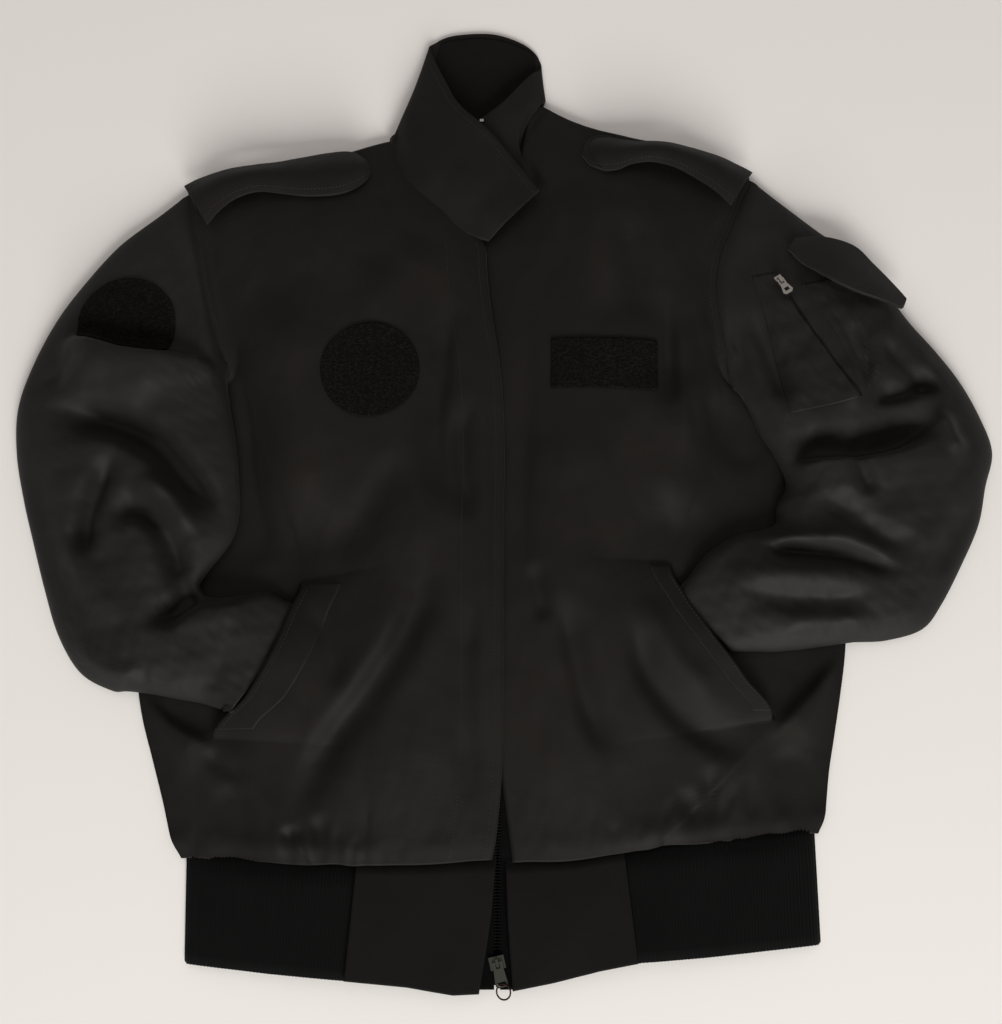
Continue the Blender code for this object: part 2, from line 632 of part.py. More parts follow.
def make_waistband(jacket):
    """Rib knit round the back and sides, and a woven tab at each end of it in front."""
    grid = []
    back_lift = 5.0
    for values in eased(WAIST_RIB, np.linspace(0, len(WAIST_RIB) - 1, 29)):
        row = RibRow(*values)
        lift = back_lift if row.z < SIDE_HEIGHT else 0.0
        seam = Vector((row.seam_x, waist_y(row.seam_x), max(row.z, 0.0)))
        hem = Vector((row.hem_x, hem_y(row.hem_x) + lift, max(row.z - 1.0, 0.0)))
        grid.append([seam.lerp(hem, step / 2) for step in range(3)])
    jacket.wall("waist_rib", grid, "rib_knit", RIB_WALL)

    for side, table in (("r", TAB_R), ("l", TAB_L)):
        grid = []
        for values in eased(table, np.linspace(0, 2, 5)):
            row = TabRow(*values)
            line = []
            for t in np.linspace(0, 1, 6):
                x = row.inner_x + (row.outer_x - row.inner_x) * t
                y = waist_y(x) + (hem_y(x) - waist_y(x)) * row.part
                z = TAB_HEIGHT["inner"] + (TAB_HEIGHT["outer"] - TAB_HEIGHT["inner"]) * t
                line.append((x, y, z))
            grid.append(line)
        jacket.wall(f"waist_tab_{side}", grid, "twill_cloth", TAB_WALL)


def laid_grid(table, ground, steps_along, steps_across):
    """A grid between two edges, laid on the ground with each edge's own lift."""
    grid = []
    for values in eased(table, np.linspace(0, len(table) - 1, steps_along)):
        row = EdgeRow(*values)
        line = []
        for t in np.linspace(0, 1, steps_across):
            x = row.left_x + (row.right_x - row.left_x) * t
            y = row.left_y + (row.right_y - row.left_y) * t
            lift = row.left_lift + (row.right_lift - row.left_lift) * t
            line.append((x, y, ground.around(x, y, 6.0) + lift))
        grid.append(line)
    return grid


def make_strap(jacket, side, table, ground):
    """A shoulder strap, arched over the shoulder with its rounded end towards the neck."""
    grid = []
    for values in eased(table, np.linspace(0, len(table) - 1, 13)):
        row = StrapRow(*values)
        front = Vector((row.front_x, row.front_y, row.front_z))
        back = Vector((row.back_x, row.back_y, row.back_z))
        line = []
        for t in np.linspace(0, 1, 5):
            point = front.lerp(back, t)
            arched = point.z + row.arch * math.sin(math.pi * t)
            line.append((point.x, point.y, max(arched, ground.around(point.x, point.y, 7.0) + 1.2)))
        grid.append(line)
    return jacket.wall(f"epaulette_{side}", grid, "twill_cloth", WALL, upwards=True)


def disc_grid(patch, steps, ground):
    """A round patch as a square grid pushed out to a circle, laid on the ground."""
    grid = []
    for v in np.linspace(-1, 1, steps):
        line = []
        for u in np.linspace(-1, 1, steps):
            x = patch["x"] + patch["radius"] * u * math.sqrt(1 - v * v / 2)
            y = patch["y"] + patch["radius"] * v * math.sqrt(1 - u * u / 2)
            y = max(y, patch.get("cut_y", y)) + (0.02 * (v + 1) if "cut_y" in patch else 0.0)
            line.append((x, y, ground.around(x, y, 6.0) + LAY_GAP))
        grid.append(line)
    return grid


def make_patches(jacket, fronts, sleeve):
    """The loop patches on the chest and on the right sleeve."""
    jacket.wall("chest_patch", disc_grid(CHEST_PATCH, 8, fronts), "loop_pile", THIN_WALL, upwards=True)
    jacket.wall("sleeve_patch", cut_disc_grid(sleeve), "loop_pile", THIN_WALL, upwards=True)
    grid = []
    for v in np.linspace(-0.5, 0.5, 5):
        line = []
        for u in np.linspace(-0.5, 0.5, 8):
            x, y = NAME_PATCH["x"] + NAME_PATCH["width"] * u, NAME_PATCH["y"] + NAME_PATCH["height"] * v
            line.append((x, y, fronts.around(x, y, 6.0) + LAY_GAP))
        grid.append(line)
    jacket.wall("name_patch", grid, "loop_pile", THIN_WALL, upwards=True)


def cut_disc_grid(ground):
    """The sleeve's round patch, whose lower part lies out of sight under a fold."""
    patch = SLEEVE_PATCH
    grid = []
    for y in np.linspace(patch["cut_y"], patch["y"] + patch["radius"] * 0.985, 8):
        half = math.sqrt(patch["radius"] ** 2 - (y - patch["y"]) ** 2)
        line = []
        for u in np.linspace(-1, 1, 9):
            x = patch["x"] + half * u
            line.append((x, y, ground.around(x, y, 6.0) + LAY_GAP))
        grid.append(line)
    return grid


def make_welt(jacket, side, table, ground, sign):
    """The stitched strip along a pocket mouth's upper lip."""
    low, high = MOUTH_ROWS
    grid = []
    for values in eased(table, np.linspace(low + 0.25, high - 0.2, 10)):
        row = FrontRow(*values)
        line = []
        for t in np.linspace(0, 1, 3):
            x = row.mouth_x - sign * (2.0 + WELT_WIDTH[side] * t)
            line.append((x, row.mouth_y, ground.around(x, row.mouth_y, 5.0) + LAY_GAP))
        grid.append(line)
    return jacket.wall(f"pocket_welt_{side}", grid, "twill_cloth", THIN_WALL, upwards=True)


def make_tape(jacket, side, table, x):
    """A zip tape under a front's centre edge, on down the waistband to its end."""
    ends = [row for row in table if row.edge_y <= TAPE_TOP_Y + 12]
    places = [TAPE_END_Y, -352, -318, TAPE_STEP_Y, *np.linspace(TAPE_STEP_Y + 4.5, TAPE_TOP_Y, 20)]
    grid = []
    for y in places:
        z = np.interp(y, [row.edge_y for row in ends], [row.edge_z for row in ends]) - WALL - 1.6
        if y <= TAPE_STEP_Y:
            z = TAB_HEIGHT["inner"] - TAB_WALL - LAY_GAP
        grid.append([(x, y, z), (x + TAPE_WIDTH, y, z)])
    return jacket.wall(f"zip_tape_{side}", grid, "zip_tape_cloth", TAPE_WALL)


def zip_frame(zip_size, z):
    """The place and heading of a zip's hinge: local -Y runs along the pull."""
    return Matrix.Translation(to_world((zip_size["x"], zip_size["y"], z))) @ Matrix.Rotation(
        math.radians(zip_size["heading"]), 4, "Z"
    )


def box_mesh(mesh, size, centre):
    """Add a box of a size and centre in millimetres."""
    made = bmesh.ops.create_cube(mesh, size=1.0)
    bmesh.ops.scale(mesh, vec=Vector(size) * MM, verts=made["verts"])
    bmesh.ops.translate(mesh, vec=Vector(centre) * MM, verts=made["verts"])


def solid_from_boxes(jacket, name, boxes, frame, finish):
    """Boxes that overlap, joined into one solid."""
    base = None
    for index, (size, centre) in enumerate(boxes):
        mesh = bmesh.new()
        box_mesh(mesh, size, centre)
        data = bpy.data.meshes.new(f"{name}_{index}")
        mesh.to_mesh(data)
        mesh.free()
        if base is None:
            base = jacket.add(name, data, finish)
            base.matrix_world = frame
            continue
        helper = bpy.data.objects.new(f"{name}_helper_{index}", data)
        helper.matrix_world = frame
        helper.hide_render = True
        helper.display_type = "WIRE"
        HELPERS.objects.link(helper)
        join = base.modifiers.new(f"join_{index}", "BOOLEAN")
        join.operation = "UNION"
        join.object = helper
    return base


def slider_boxes(zip_size, lower_plate):
    """Plates, web and bridge of a slider, about the hinge in its bridge's window."""
    top = -BRIDGE["window"] / 2
    plate = SLIDER_PLATE
    width, length = zip_size["width"], zip_size["length"]
    leg = (BRIDGE["length"] - BRIDGE["wall"]) / 2
    boxes = [((width, length, plate), (0, 0, top - plate / 2))]
    if lower_plate:
        boxes.append(((3.0, length / 2, 3.4), (0, 0, top - plate - 1.2)))
        boxes.append(((width - 0.8, length - 0.8, plate), (0, 0, top - 2 * plate - 2.0)))
    for sign in (-1, 1):
        boxes.append(((BRIDGE["width"], BRIDGE["wall"], 3.8), (0, sign * leg, top + 1.1)))
    boxes.append(
        ((BRIDGE["width"] - 0.2, BRIDGE["length"] - 0.4, BRIDGE["wall"] - 0.2),
         (0, 0, BRIDGE["window"] / 2 + BRIDGE["wall"] / 2))
    )
    return boxes


def make_pull(jacket, name, zip_size, frame, finish, ring_hole):
    """A pull tab: a bar through the bridge, a window round its leg, and a hole near the end."""
    bar = PULL_WALL / 2
    end = zip_size["pull"]
    half_top, half_end = zip_size["pull_top"] / 2, zip_size["pull_end"] / 2
    outline = [(-half_top, bar), (half_top, bar), (half_top, -5.5), (half_end, -end + 2.0),
               (half_end - 2.0, -end), (2.0 - half_end, -end), (-half_end, -end + 2.0), (-half_top, -5.5)]
    window = rectangle(3.4, 3.6, -bar - 1.8)
    width, height = RING["hole"]
    hole = rectangle(width, height, RING["from_end"] - end) if ring_hole else rectangle(4.0, 3.0, 4.2 - end)
    curve = bpy.data.curves.new(name, "CURVE")
    curve.dimensions = "2D"
    curve.fill_mode = "BOTH"
    curve.extrude = PULL_WALL * MM / 2
    for points in (outline, window, hole):
        spline = curve.splines.new("POLY")
        spline.points.add(len(points) - 1)
        for point, (x, y) in zip(spline.points, points):
            point.co = (x * MM, y * MM, 0, 1)
        spline.use_cyclic_u = True
    item = jacket.add(name, curve, finish)
    item.matrix_world = frame
    return item


def rectangle(width, height, middle_y):
    """The corners of a rectangle about X = 0."""
    return [(-width / 2, middle_y - height / 2), (width / 2, middle_y - height / 2),
            (width / 2, middle_y + height / 2), (-width / 2, middle_y + height / 2)]


def make_ring(jacket, frame):
    """The wire ring through the main pull's end, tilted so that it passes through the hole."""
    curve = bpy.data.curves.new("zip_ring", "CURVE")
    curve.dimensions = "3D"
    curve.bevel_depth = RING["wire"] * MM
    curve.bevel_resolution = 1
    spline = curve.splines.new("POLY")
    steps = 20
    spline.points.add(steps - 1)
    for step, point in enumerate(spline.points):
        angle = math.tau * step / steps
        point.co = (RING["radius"] * MM * math.cos(angle), RING["radius"] * MM * math.sin(angle), 0, 1)
    spline.use_cyclic_u = True
    item = jacket.add("zip_ring", curve, "bronze_wire")
    middle = RING["from_end"] - MAIN_ZIP["pull"] - RING["radius"]
    tilt = Matrix.Rotation(math.radians(-RING["tilt"]), 4, "Y")
    item.matrix_world = frame @ Matrix.Translation((0, middle * MM, 0)) @ tilt
    return item


def make_zips(jacket, sleeve_ground):
    """Tapes, sliders, pulls, ring and top stop."""
    make_tape(jacket, "r", FRONT_R, -5.3 - TAPE_WIDTH)
    make_tape(jacket, "l", FRONT_L, -0.7)
    hinge_z = MAIN_ZIP["plate_z"] + SLIDER_PLATE + BRIDGE["window"] / 2
    frame = zip_frame(MAIN_ZIP, hinge_z)
    solid_from_boxes(jacket, "zip_slider", slider_boxes(MAIN_ZIP, True), frame, "painted_zinc")
    make_pull(jacket, "zip_pull", MAIN_ZIP, frame, "painted_zinc", True)
    make_ring(jacket, frame)

    seat = sleeve_ground.around(SLEEVE_ZIP["x"], SLEEVE_ZIP["y"], 8.0) + LAY_GAP
    frame = zip_frame(SLEEVE_ZIP, seat + SLIDER_PLATE + BRIDGE["window"] / 2)
    solid_from_boxes(jacket, "sleeve_slider", slider_boxes(SLEEVE_ZIP, False), frame, "bright_nickel")
    make_pull(jacket, "sleeve_pull", SLEEVE_ZIP, frame, "bright_nickel", False)

    stop_frame = Matrix.Translation(to_world((TOP_STOP["x"], TOP_STOP["y"], TOP_STOP["z"])))
    solid_from_boxes(jacket, "zip_top_stop", [(TOP_STOP["size"], (0, 0, 0))], stop_frame, "bright_nickel")


def main():
    """Make every piece, from the surface that the jacket lies on upwards."""
    jacket = Jacket()
    jacket.flat("back_panel", back_outline(), 0.0, WALL, "twill_cloth")
    bags = [jacket.flat("pocket_bag_r", BAG_R, BAG_Z, THIN_WALL, "collar_lining_cloth"),
            jacket.flat("pocket_bag_l", BAG_L, BAG_Z, THIN_WALL, "collar_lining_cloth")]
    front_r = make_front(jacket, "r", FRONT_R)
    front_l = make_front(jacket, "l", FRONT_L)
    low_cloth = Ground([front_r, front_l, *bags], below=LOW_FACE)
    sleeve_r = make_sleeve(jacket, "r", SLEEVE_R, FRONT_R, low_cloth, -1)
    sleeve_l = make_sleeve(jacket, "l", SLEEVE_L, FRONT_L, low_cloth, 1)
    lower_lips = Ground([front_r, front_l, *bags], below=LIP_FACE, reach=CUFF_REACH)
    make_cuff(jacket, "r", SLEEVE_R[-1], lower_lips, -1)
    make_cuff(jacket, "l", SLEEVE_L[-1], lower_lips, 1)
    make_collar(jacket)
    make_waistband(jacket)

    upper_cloth = Ground([front_r, front_l, sleeve_r, sleeve_l])
    make_strap(jacket, "r", EPAULETTE_R, upper_cloth)
    make_strap(jacket, "l", EPAULETTE_L, upper_cloth)
    make_patches(jacket, upper_cloth, upper_cloth)
    make_welt(jacket, "r", FRONT_R, upper_cloth, -1)
    make_welt(jacket, "l", FRONT_L, upper_cloth, 1)
    pocket = jacket.wall("sleeve_pocket", laid_grid(SLEEVE_POCKET, upper_cloth, 8, 5), "twill_cloth",
                         THIN_WALL, upwards=True)
    pen = jacket.wall("pen_pocket", laid_grid(PEN_POCKET, upper_cloth, 8, 4), "twill_cloth",
                      THIN_WALL, upwards=True)
    pockets = Ground([sleeve_l, pocket, pen])
    jacket.wall("pen_flap", laid_grid(PEN_FLAP, pockets, 12, 5), "twill_cloth", WALL, upwards=True)
    make_zips(jacket, pockets)


for leftover in list(bpy.data.objects):
    bpy.data.objects.remove(leftover, do_unlink=True)
HELPERS = bpy.data.collections.new("helpers")
bpy.context.scene.collection.children.link(HELPERS)
main()
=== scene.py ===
"""Looks of a pilot's padded jacket, laid flat on its back with both cuffs in its hand pockets.

Places are in the garment's own plan, in millimetres: X across it, +Y towards the collar and Z up from
the surface it lies on. to_world() turns them into the row frame. Sides are the wearer's.
"""

import logging
import math
from dataclasses import dataclass, field
from enum import Enum
from typing import NamedTuple

import bmesh
import bpy
import numpy as np
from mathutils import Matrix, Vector
from mathutils.bvhtree import BVHTree

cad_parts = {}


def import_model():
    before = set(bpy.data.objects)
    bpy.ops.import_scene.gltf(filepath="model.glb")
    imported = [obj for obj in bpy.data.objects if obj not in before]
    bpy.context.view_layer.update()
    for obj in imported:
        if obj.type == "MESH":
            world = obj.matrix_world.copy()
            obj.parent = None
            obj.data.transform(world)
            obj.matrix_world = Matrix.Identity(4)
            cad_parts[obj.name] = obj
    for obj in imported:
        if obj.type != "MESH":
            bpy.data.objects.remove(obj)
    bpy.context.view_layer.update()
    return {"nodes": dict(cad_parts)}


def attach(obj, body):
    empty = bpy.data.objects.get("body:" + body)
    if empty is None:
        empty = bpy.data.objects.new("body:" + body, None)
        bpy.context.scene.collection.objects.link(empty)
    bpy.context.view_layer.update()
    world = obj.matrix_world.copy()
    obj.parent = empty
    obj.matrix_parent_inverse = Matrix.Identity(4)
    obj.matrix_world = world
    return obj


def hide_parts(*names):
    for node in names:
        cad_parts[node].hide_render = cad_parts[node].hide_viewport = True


LOG = logging.getLogger("pilot_jacket")

MM = 0.001
PLAN_CENTRE = (2.0, 27.9)
JACKET = "jacket"
THREADS = "threads"


class Side(Enum):
    """The wearer's side that a piece is on, with the X direction away from the middle."""

    RIGHT = ("r", -1.0)
    LEFT = ("l", 1.0)

    @property
    def letter(self) -> str:
        """The side's ending in node names."""
        return self.value[0]

    @property
    def outwards(self) -> float:
        """+1 or -1 along X, away from the middle."""
        return self.value[1]


# ---------------------------------------------------------------- numbers


def to_world(points: np.ndarray) -> np.ndarray:
    """Plan millimetres as metres in the row frame.

    Args:
        points: Plan points, with x, y, z last.

    Returns:
        The same points in metres.
    """
    return (np.asarray(points, float) - np.array([*PLAN_CENTRE, 0.0])) * MM


def smooth(t: np.ndarray) -> np.ndarray:
    """A soft step from 0 to 1."""
    t = np.clip(t, 0.0, 1.0)
    return t * t * (3 - 2 * t)


def eased(table: np.ndarray, at: np.ndarray) -> np.ndarray:
    """A table's columns between its rows, as a smooth curve through them.

    Args:
        table: One row for each section.
        at: Where to read it, in rows.

    Returns:
        One row of values for each place.
    """
    values = np.asarray(table, float)
    slopes = np.gradient(values, axis=0)
    at = np.atleast_1d(np.asarray(at, float))
    row = np.clip(np.floor(at).astype(int), 0, len(values) - 2)
    t = (at - row)[:, None]
    start = (1 + 2 * t) * (1 - t) ** 2 * values[row] + t * (1 - t) ** 2 * slopes[row]
    end = t**2 * (3 - 2 * t) * values[row + 1] + t**2 * (t - 1) * slopes[row + 1]
    return start + end


def along(line: np.ndarray, count: int) -> np.ndarray:
    """Evenly spaced points on the smooth curve through a few points.

    Args:
        line: The points, one a row.
        count: How many points to return.

    Returns:
        The spaced points.
    """
    fine = eased(line, np.linspace(0, len(line) - 1, 12 * len(line)))
    reach = np.append(0.0, np.cumsum(np.linalg.norm(np.diff(fine, axis=0), axis=1)))
    at = np.linspace(0, reach[-1], count)
    return np.column_stack([np.interp(at, reach, fine[:, k]) for k in range(fine.shape[1])])


@dataclass(frozen=True)
class Fold:
    """One crease in the cloth: a trough along a line, or a ridge where its depth is negative.

    Args:
        line: Plan points that it runs through.
        depth: How far down it goes, in mm.
        left: Its width to the left of the line, in mm.
        right: Its width to the right of the line, in mm.
    """

    line: tuple[tuple[float, float], ...]
    depth: float
    left: float = 10.0
    right: float = 10.0

    def drop(self, x: np.ndarray, y: np.ndarray) -> np.ndarray:
        """How far the cloth is below its plain surface.

        Args:
            x: Plan places across.
            y: Plan places along.

        Returns:
            The drop at each place, in mm.
        """
        way = along(np.array(self.line, float), 14)
        total = np.linalg.norm(np.diff(way, axis=0), axis=1).sum()
        best = np.full(x.shape, 1e9)
        offset, at = np.zeros(x.shape), np.zeros(x.shape)
        done = 0.0
        for a, b in zip(way[:-1], way[1:]):
            step = b - a
            length = np.hypot(*step)
            t = np.clip(((x - a[0]) * step[0] + (y - a[1]) * step[1]) / length**2, 0, 1)
            dx, dy = x - a[0] - t * step[0], y - a[1] - t * step[1]
            far = np.hypot(dx, dy)
            nearer = far < best
            best = np.where(nearer, far, best)
            sign = np.where(step[0] * dy - step[1] * dx >= 0, 1.0, -1.0)
            offset = np.where(nearer, sign * far, offset)
            at = np.where(nearer, (done + t * length) / total, at)
            done += length
        width = np.where(offset >= 0, self.left, self.right)
        shape = np.exp(-np.abs(offset / width) ** 2.0)
        ends = smooth(at / 0.3) * smooth((1 - at) / 0.3)
        return self.depth * shape * ends


@dataclass(frozen=True)
class Rumple:
    """The slight unevenness of worn, padded cloth, as a few slow waves.

    Args:
        height: The usual height of a wave, in mm.
        longest: The longest wave, in mm.
        seed: Which set of waves it is.
        stretch: How much longer the waves are along Y than across it.
    """

    height: float
    longest: float
    seed: int
    stretch: float = 1.6

    def lift(self, x: np.ndarray, y: np.ndarray) -> np.ndarray:
        """The height above the plain surface at each place, in mm."""
        rng = np.random.default_rng(self.seed)
        total = np.zeros(np.shape(x))
        for octave in (1.0, 1.7, 2.9, 4.7):
            for _ in range(4):
                angle, phase = rng.uniform(0, math.tau, 2)
                warp = rng.uniform(0.5, 1.5)
                k = math.tau * octave / self.longest * rng.uniform(0.8, 1.25)
                bent = x + 9 * np.sin(y / 37 * warp + phase)
                total += np.sin(k * (bent * math.cos(angle) + y / self.stretch * math.sin(angle)) + phase) / (
                    4 * octave**0.9
                )
        return self.height * total


def drops(folds: list[Fold], x: np.ndarray, y: np.ndarray) -> np.ndarray:
    """All the folds' drops together, in mm."""
    total = np.zeros(np.shape(x))
    for one in folds:
        total += one.drop(x, y)
    return total


def gathers(seam: np.ndarray, spacing: float, length: float, depth: float, seed: int) -> list[Fold]:
    """Small uneven pleats where cloth is drawn in along a seam.

    Args:
        seam: The seam's plan points.
        spacing: The usual distance between pleats, in mm.
        length: The usual length of a pleat, up from the seam, in mm.
        depth: The usual depth of a pleat, in mm.
        seed: Which set of pleats it is.

    Returns:
        One fold for each pleat.
    """
    rng = np.random.default_rng(seed)
    made, x = [], seam[:, 0].min() + spacing / 2
    while x < seam[:, 0].max() - spacing / 3:
        y = float(np.interp(x, seam[:, 0], seam[:, 1]))
        reach, lean = length * rng.uniform(0.5, 1.5), rng.uniform(-0.35, 0.35)
        line = ((x, y - 14), (x + lean * 5, y + reach * 0.3), (x + lean * reach, y + reach))
        width = spacing * rng.uniform(0.16, 0.3)
        made.append(Fold(line, depth * rng.uniform(0.45, 1.3), width, width * rng.uniform(0.7, 1.6)))
        x += spacing * rng.uniform(0.6, 1.5)
    return made


def between(near: np.ndarray, far: np.ndarray, t: np.ndarray) -> np.ndarray:
    """A grid of points from one edge of a piece straight across to the other.

    Args:
        near: One edge's point for each row.
        far: The other edge's point for each row.
        t: The share of the way across, for each column.

    Returns:
        Rows by columns of points.
    """
    return near[:, None] * (1 - t)[:, None] + far[:, None] * t[:, None]


def bulge(t: np.ndarray) -> np.ndarray:
    """The full, blunt profile of a padded tube's upper side: 0 at both edges and 1 halfway."""
    return (1 - np.abs(2 * t - 1) ** 2.6) ** 0.6


def offset_line(line: np.ndarray, distance: float) -> np.ndarray:
    """A line moved to its left by a distance, in the plan.

    Args:
        line: Its points.
        distance: How far, in mm; negative moves it right.

    Returns:
        The moved points.
    """
    way = np.gradient(np.asarray(line, float), axis=0)
    way /= np.linalg.norm(way, axis=1, keepdims=True)
    return line + np.column_stack([-way[:, 1], way[:, 0]]) * distance


# ---------------------------------------------------------------- objects


def add_object(name: str, data: bpy.types.ID) -> bpy.types.Object:
    """A new object in the scene."""
    made = bpy.data.objects.new(name, data)
    bpy.context.scene.collection.objects.link(made)
    return made


def mesh_from(shape: bmesh.types.BMesh, name: str) -> bpy.types.Mesh:
    """A mesh from a shape, which is freed."""
    data = bpy.data.meshes.new(name)
    shape.to_mesh(data)
    shape.free()
    return data


def thicken(piece: bpy.types.Object, wall: float, upwards: bool) -> None:
    """Give a piece that is one layer its thickness.

    Args:
        piece: The object to change.
        wall: Its thickness, in mm.
        upwards: Whether the thickness is outside its face, and not behind it.
    """
    solid = piece.modifiers.new("wall", "SOLIDIFY")
    solid.thickness = wall * MM
    solid.offset = 1.0 if upwards else -1.0


# ---------------------------------------------------------------- finishes


def linear(code: str) -> tuple[float, float, float, float]:
    """An sRGB hex colour as linear red, green, blue and alpha."""
    values = [int(code[i : i + 2], 16) / 255 for i in (1, 3, 5)]
    shades = [v / 12.92 if v <= 0.04045 else ((v + 0.055) / 1.055) ** 2.4 for v in values]
    return (*shades, 1.0)


def add_node(tree: bpy.types.NodeTree, kind: str, inputs: dict | None = None, **settings) -> bpy.types.Node:
    """Add one node to a tree.

    Args:
        tree: The tree it goes in.
        kind: The node's type name.
        inputs: For each input's name or number, a value or the output that feeds it.
        **settings: The node's own properties.

    Returns:
        The new node.
    """
    node = tree.nodes.new(kind)
    for name, value in settings.items():
        setattr(node, name, value)
    for key, value in (inputs or {}).items():
        if isinstance(value, bpy.types.NodeSocket):
            tree.links.new(value, node.inputs[key])
        else:
            node.inputs[key].default_value = value
    return node


@dataclass(frozen=True)
class Finish:
    """What every finish has: its colour and how it shines.

    Args:
        name: The material's name.
        slot: A material slot's name; not used.
        colour: The main sRGB colour.
        roughness: From 0, mirror, to 1, dull.
    """

    name: str
    slot: str
    colour: str
    roughness: float

    def start(self) -> tuple[bpy.types.Material, bpy.types.NodeTree, bpy.types.Node]:
        """A new material, its tree and its Principled shader."""
        material = bpy.data.materials.new(self.name)
        material.use_nodes = True
        tree = material.node_tree
        shader = tree.nodes["Principled BSDF"]
        shader.inputs["Base Color"].default_value = linear(self.colour)
        shader.inputs["Roughness"].default_value = self.roughness
        return material, tree, shader

    def material(self) -> bpy.types.Material:
        """The finish as a plain material."""
        return self.start()[0]


@dataclass(frozen=True)
class WovenFinish(Finish):
    """Dyed twill: fine diagonal ribs, a little uneven in colour, with a faint bloom at glancing angles.

    Args:
        worn: The sRGB colour where the dye has paled.
        twill: Distance between diagonal ribs, in mm. The real one is about half of this, too fine to show.
        relief: Depth of the weave, in mm.
        sheen: How strong the bloom is.
        shine: The shader's specular level.
    """

    TWILL_ANGLE = 58

    worn: str = "#191512"
    twill: float = 1.45
    relief: float = 0.12
    sheen: float = 0.03
    shine: float = 0.16

    def material(self) -> bpy.types.Material:
        """The woven cloth, on the piece's own thread coordinates."""
        material, tree, shader = self.start()
        threads = add_node(tree, "ShaderNodeUVMap", uv_map=THREADS).outputs["UV"]
        place = add_node(tree, "ShaderNodeTexCoord").outputs["Object"]
        turned = add_node(
            tree, "ShaderNodeMapping", {"Vector": threads, "Rotation": (0, 0, math.radians(self.TWILL_ANGLE))}
        )
        ribs = add_node(
            tree,
            "ShaderNodeTexWave",
            {"Vector": turned.outputs[0], "Scale": math.tau / 20 / self.twill, "Distortion": 0.5,
             "Detail": 1.0, "Detail Scale": 2.0},
            wave_profile="SIN",
        )
        yarn = add_node(
            tree, "ShaderNodeTexNoise", {"Vector": threads, "Scale": 1.1, "Detail": 2.0, "Roughness": 0.65}
        )
        clouds = add_node(
            tree, "ShaderNodeTexNoise", {"Vector": place, "Scale": 16.0, "Detail": 5.0, "Roughness": 0.62}
        )
        speckle = add_node(
            tree, "ShaderNodeMath", {0: ribs.outputs["Fac"], 1: yarn.outputs["Fac"]}, operation="MULTIPLY"
        )
        pale = add_node(
            tree, "ShaderNodeMath", {0: speckle.outputs[0], 1: clouds.outputs["Fac"]}, operation="ADD"
        )
        ramp = add_node(tree, "ShaderNodeValToRGB", {"Fac": pale.outputs[0]})
        ramp.color_ramp.elements[0].position = 0.45
        ramp.color_ramp.elements[0].color = linear(self.colour)
        ramp.color_ramp.elements[1].position = 1.1
        ramp.color_ramp.elements[1].color = linear(self.worn)
        tree.links.new(ramp.outputs[0], shader.inputs["Base Color"])
        dull = add_node(
            tree,
            "ShaderNodeMapRange",
            {"Value": clouds.outputs["Fac"], "From Min": 0.3, "From Max": 0.7,
             "To Min": self.roughness - 0.06, "To Max": self.roughness + 0.06},
        )
        tree.links.new(dull.outputs[0], shader.inputs["Roughness"])
        bump = add_node(
            tree,
            "ShaderNodeBump",
            {"Height": speckle.outputs[0], "Strength": 0.65, "Distance": self.relief * MM},
        )
        crumple = add_node(
            tree, "ShaderNodeTexNoise", {"Vector": place, "Scale": 55.0, "Detail": 4.0, "Distortion": 0.6}
        )
        soft = add_node(
            tree,
            "ShaderNodeBump",
            {"Height": crumple.outputs["Fac"], "Strength": 0.35, "Distance": 1.3 * MM,
             "Normal": bump.outputs[0]},
        )
        tree.links.new(soft.outputs[0], shader.inputs["Normal"])
        shader.inputs["Sheen Weight"].default_value = self.sheen
        shader.inputs["Sheen Roughness"].default_value = 0.45
        shader.inputs["Specular IOR Level"].default_value = self.shine
        return material


@dataclass(frozen=True)
class KnitFinish(Finish):
    """Rib knit wool: loops in columns, dull, with a soft nap that takes the light only at the edges.

    Args:
        loop: Height of one loop, in mm.
    """

    loop: float = 2.2

    def material(self) -> bpy.types.Material:
        """The knit, on the piece's own thread coordinates."""
        material, tree, shader = self.start()
        threads = add_node(tree, "ShaderNodeUVMap", uv_map=THREADS).outputs["UV"]
        rows = add_node(
            tree,
            "ShaderNodeTexWave",
            {"Vector": threads, "Scale": math.tau / 20 / self.loop, "Distortion": 1.2, "Detail": 2.0},
            bands_direction="Y",
        )
        nap = add_node(tree, "ShaderNodeTexNoise", {"Vector": threads, "Scale": 0.9, "Detail": 4.0})
        mixed = add_node(
            tree, "ShaderNodeMath", {0: rows.outputs["Fac"], 1: nap.outputs["Fac"]}, operation="MULTIPLY"
        )
        ramp = add_node(tree, "ShaderNodeValToRGB", {"Fac": mixed.outputs[0]})
        ramp.color_ramp.elements[0].color = linear("#0a0a0a")
        ramp.color_ramp.elements[1].color = linear(self.colour)
        ramp.color_ramp.elements[1].position = 0.6
        tree.links.new(ramp.outputs[0], shader.inputs["Base Color"])
        bump = add_node(
            tree, "ShaderNodeBump", {"Height": mixed.outputs[0], "Strength": 0.7, "Distance": 0.5 * MM}
        )
        tree.links.new(bump.outputs[0], shader.inputs["Normal"])
        shader.inputs["Specular IOR Level"].default_value = 0.06
        shader.inputs["Sheen Weight"].default_value = 0.02
        return material


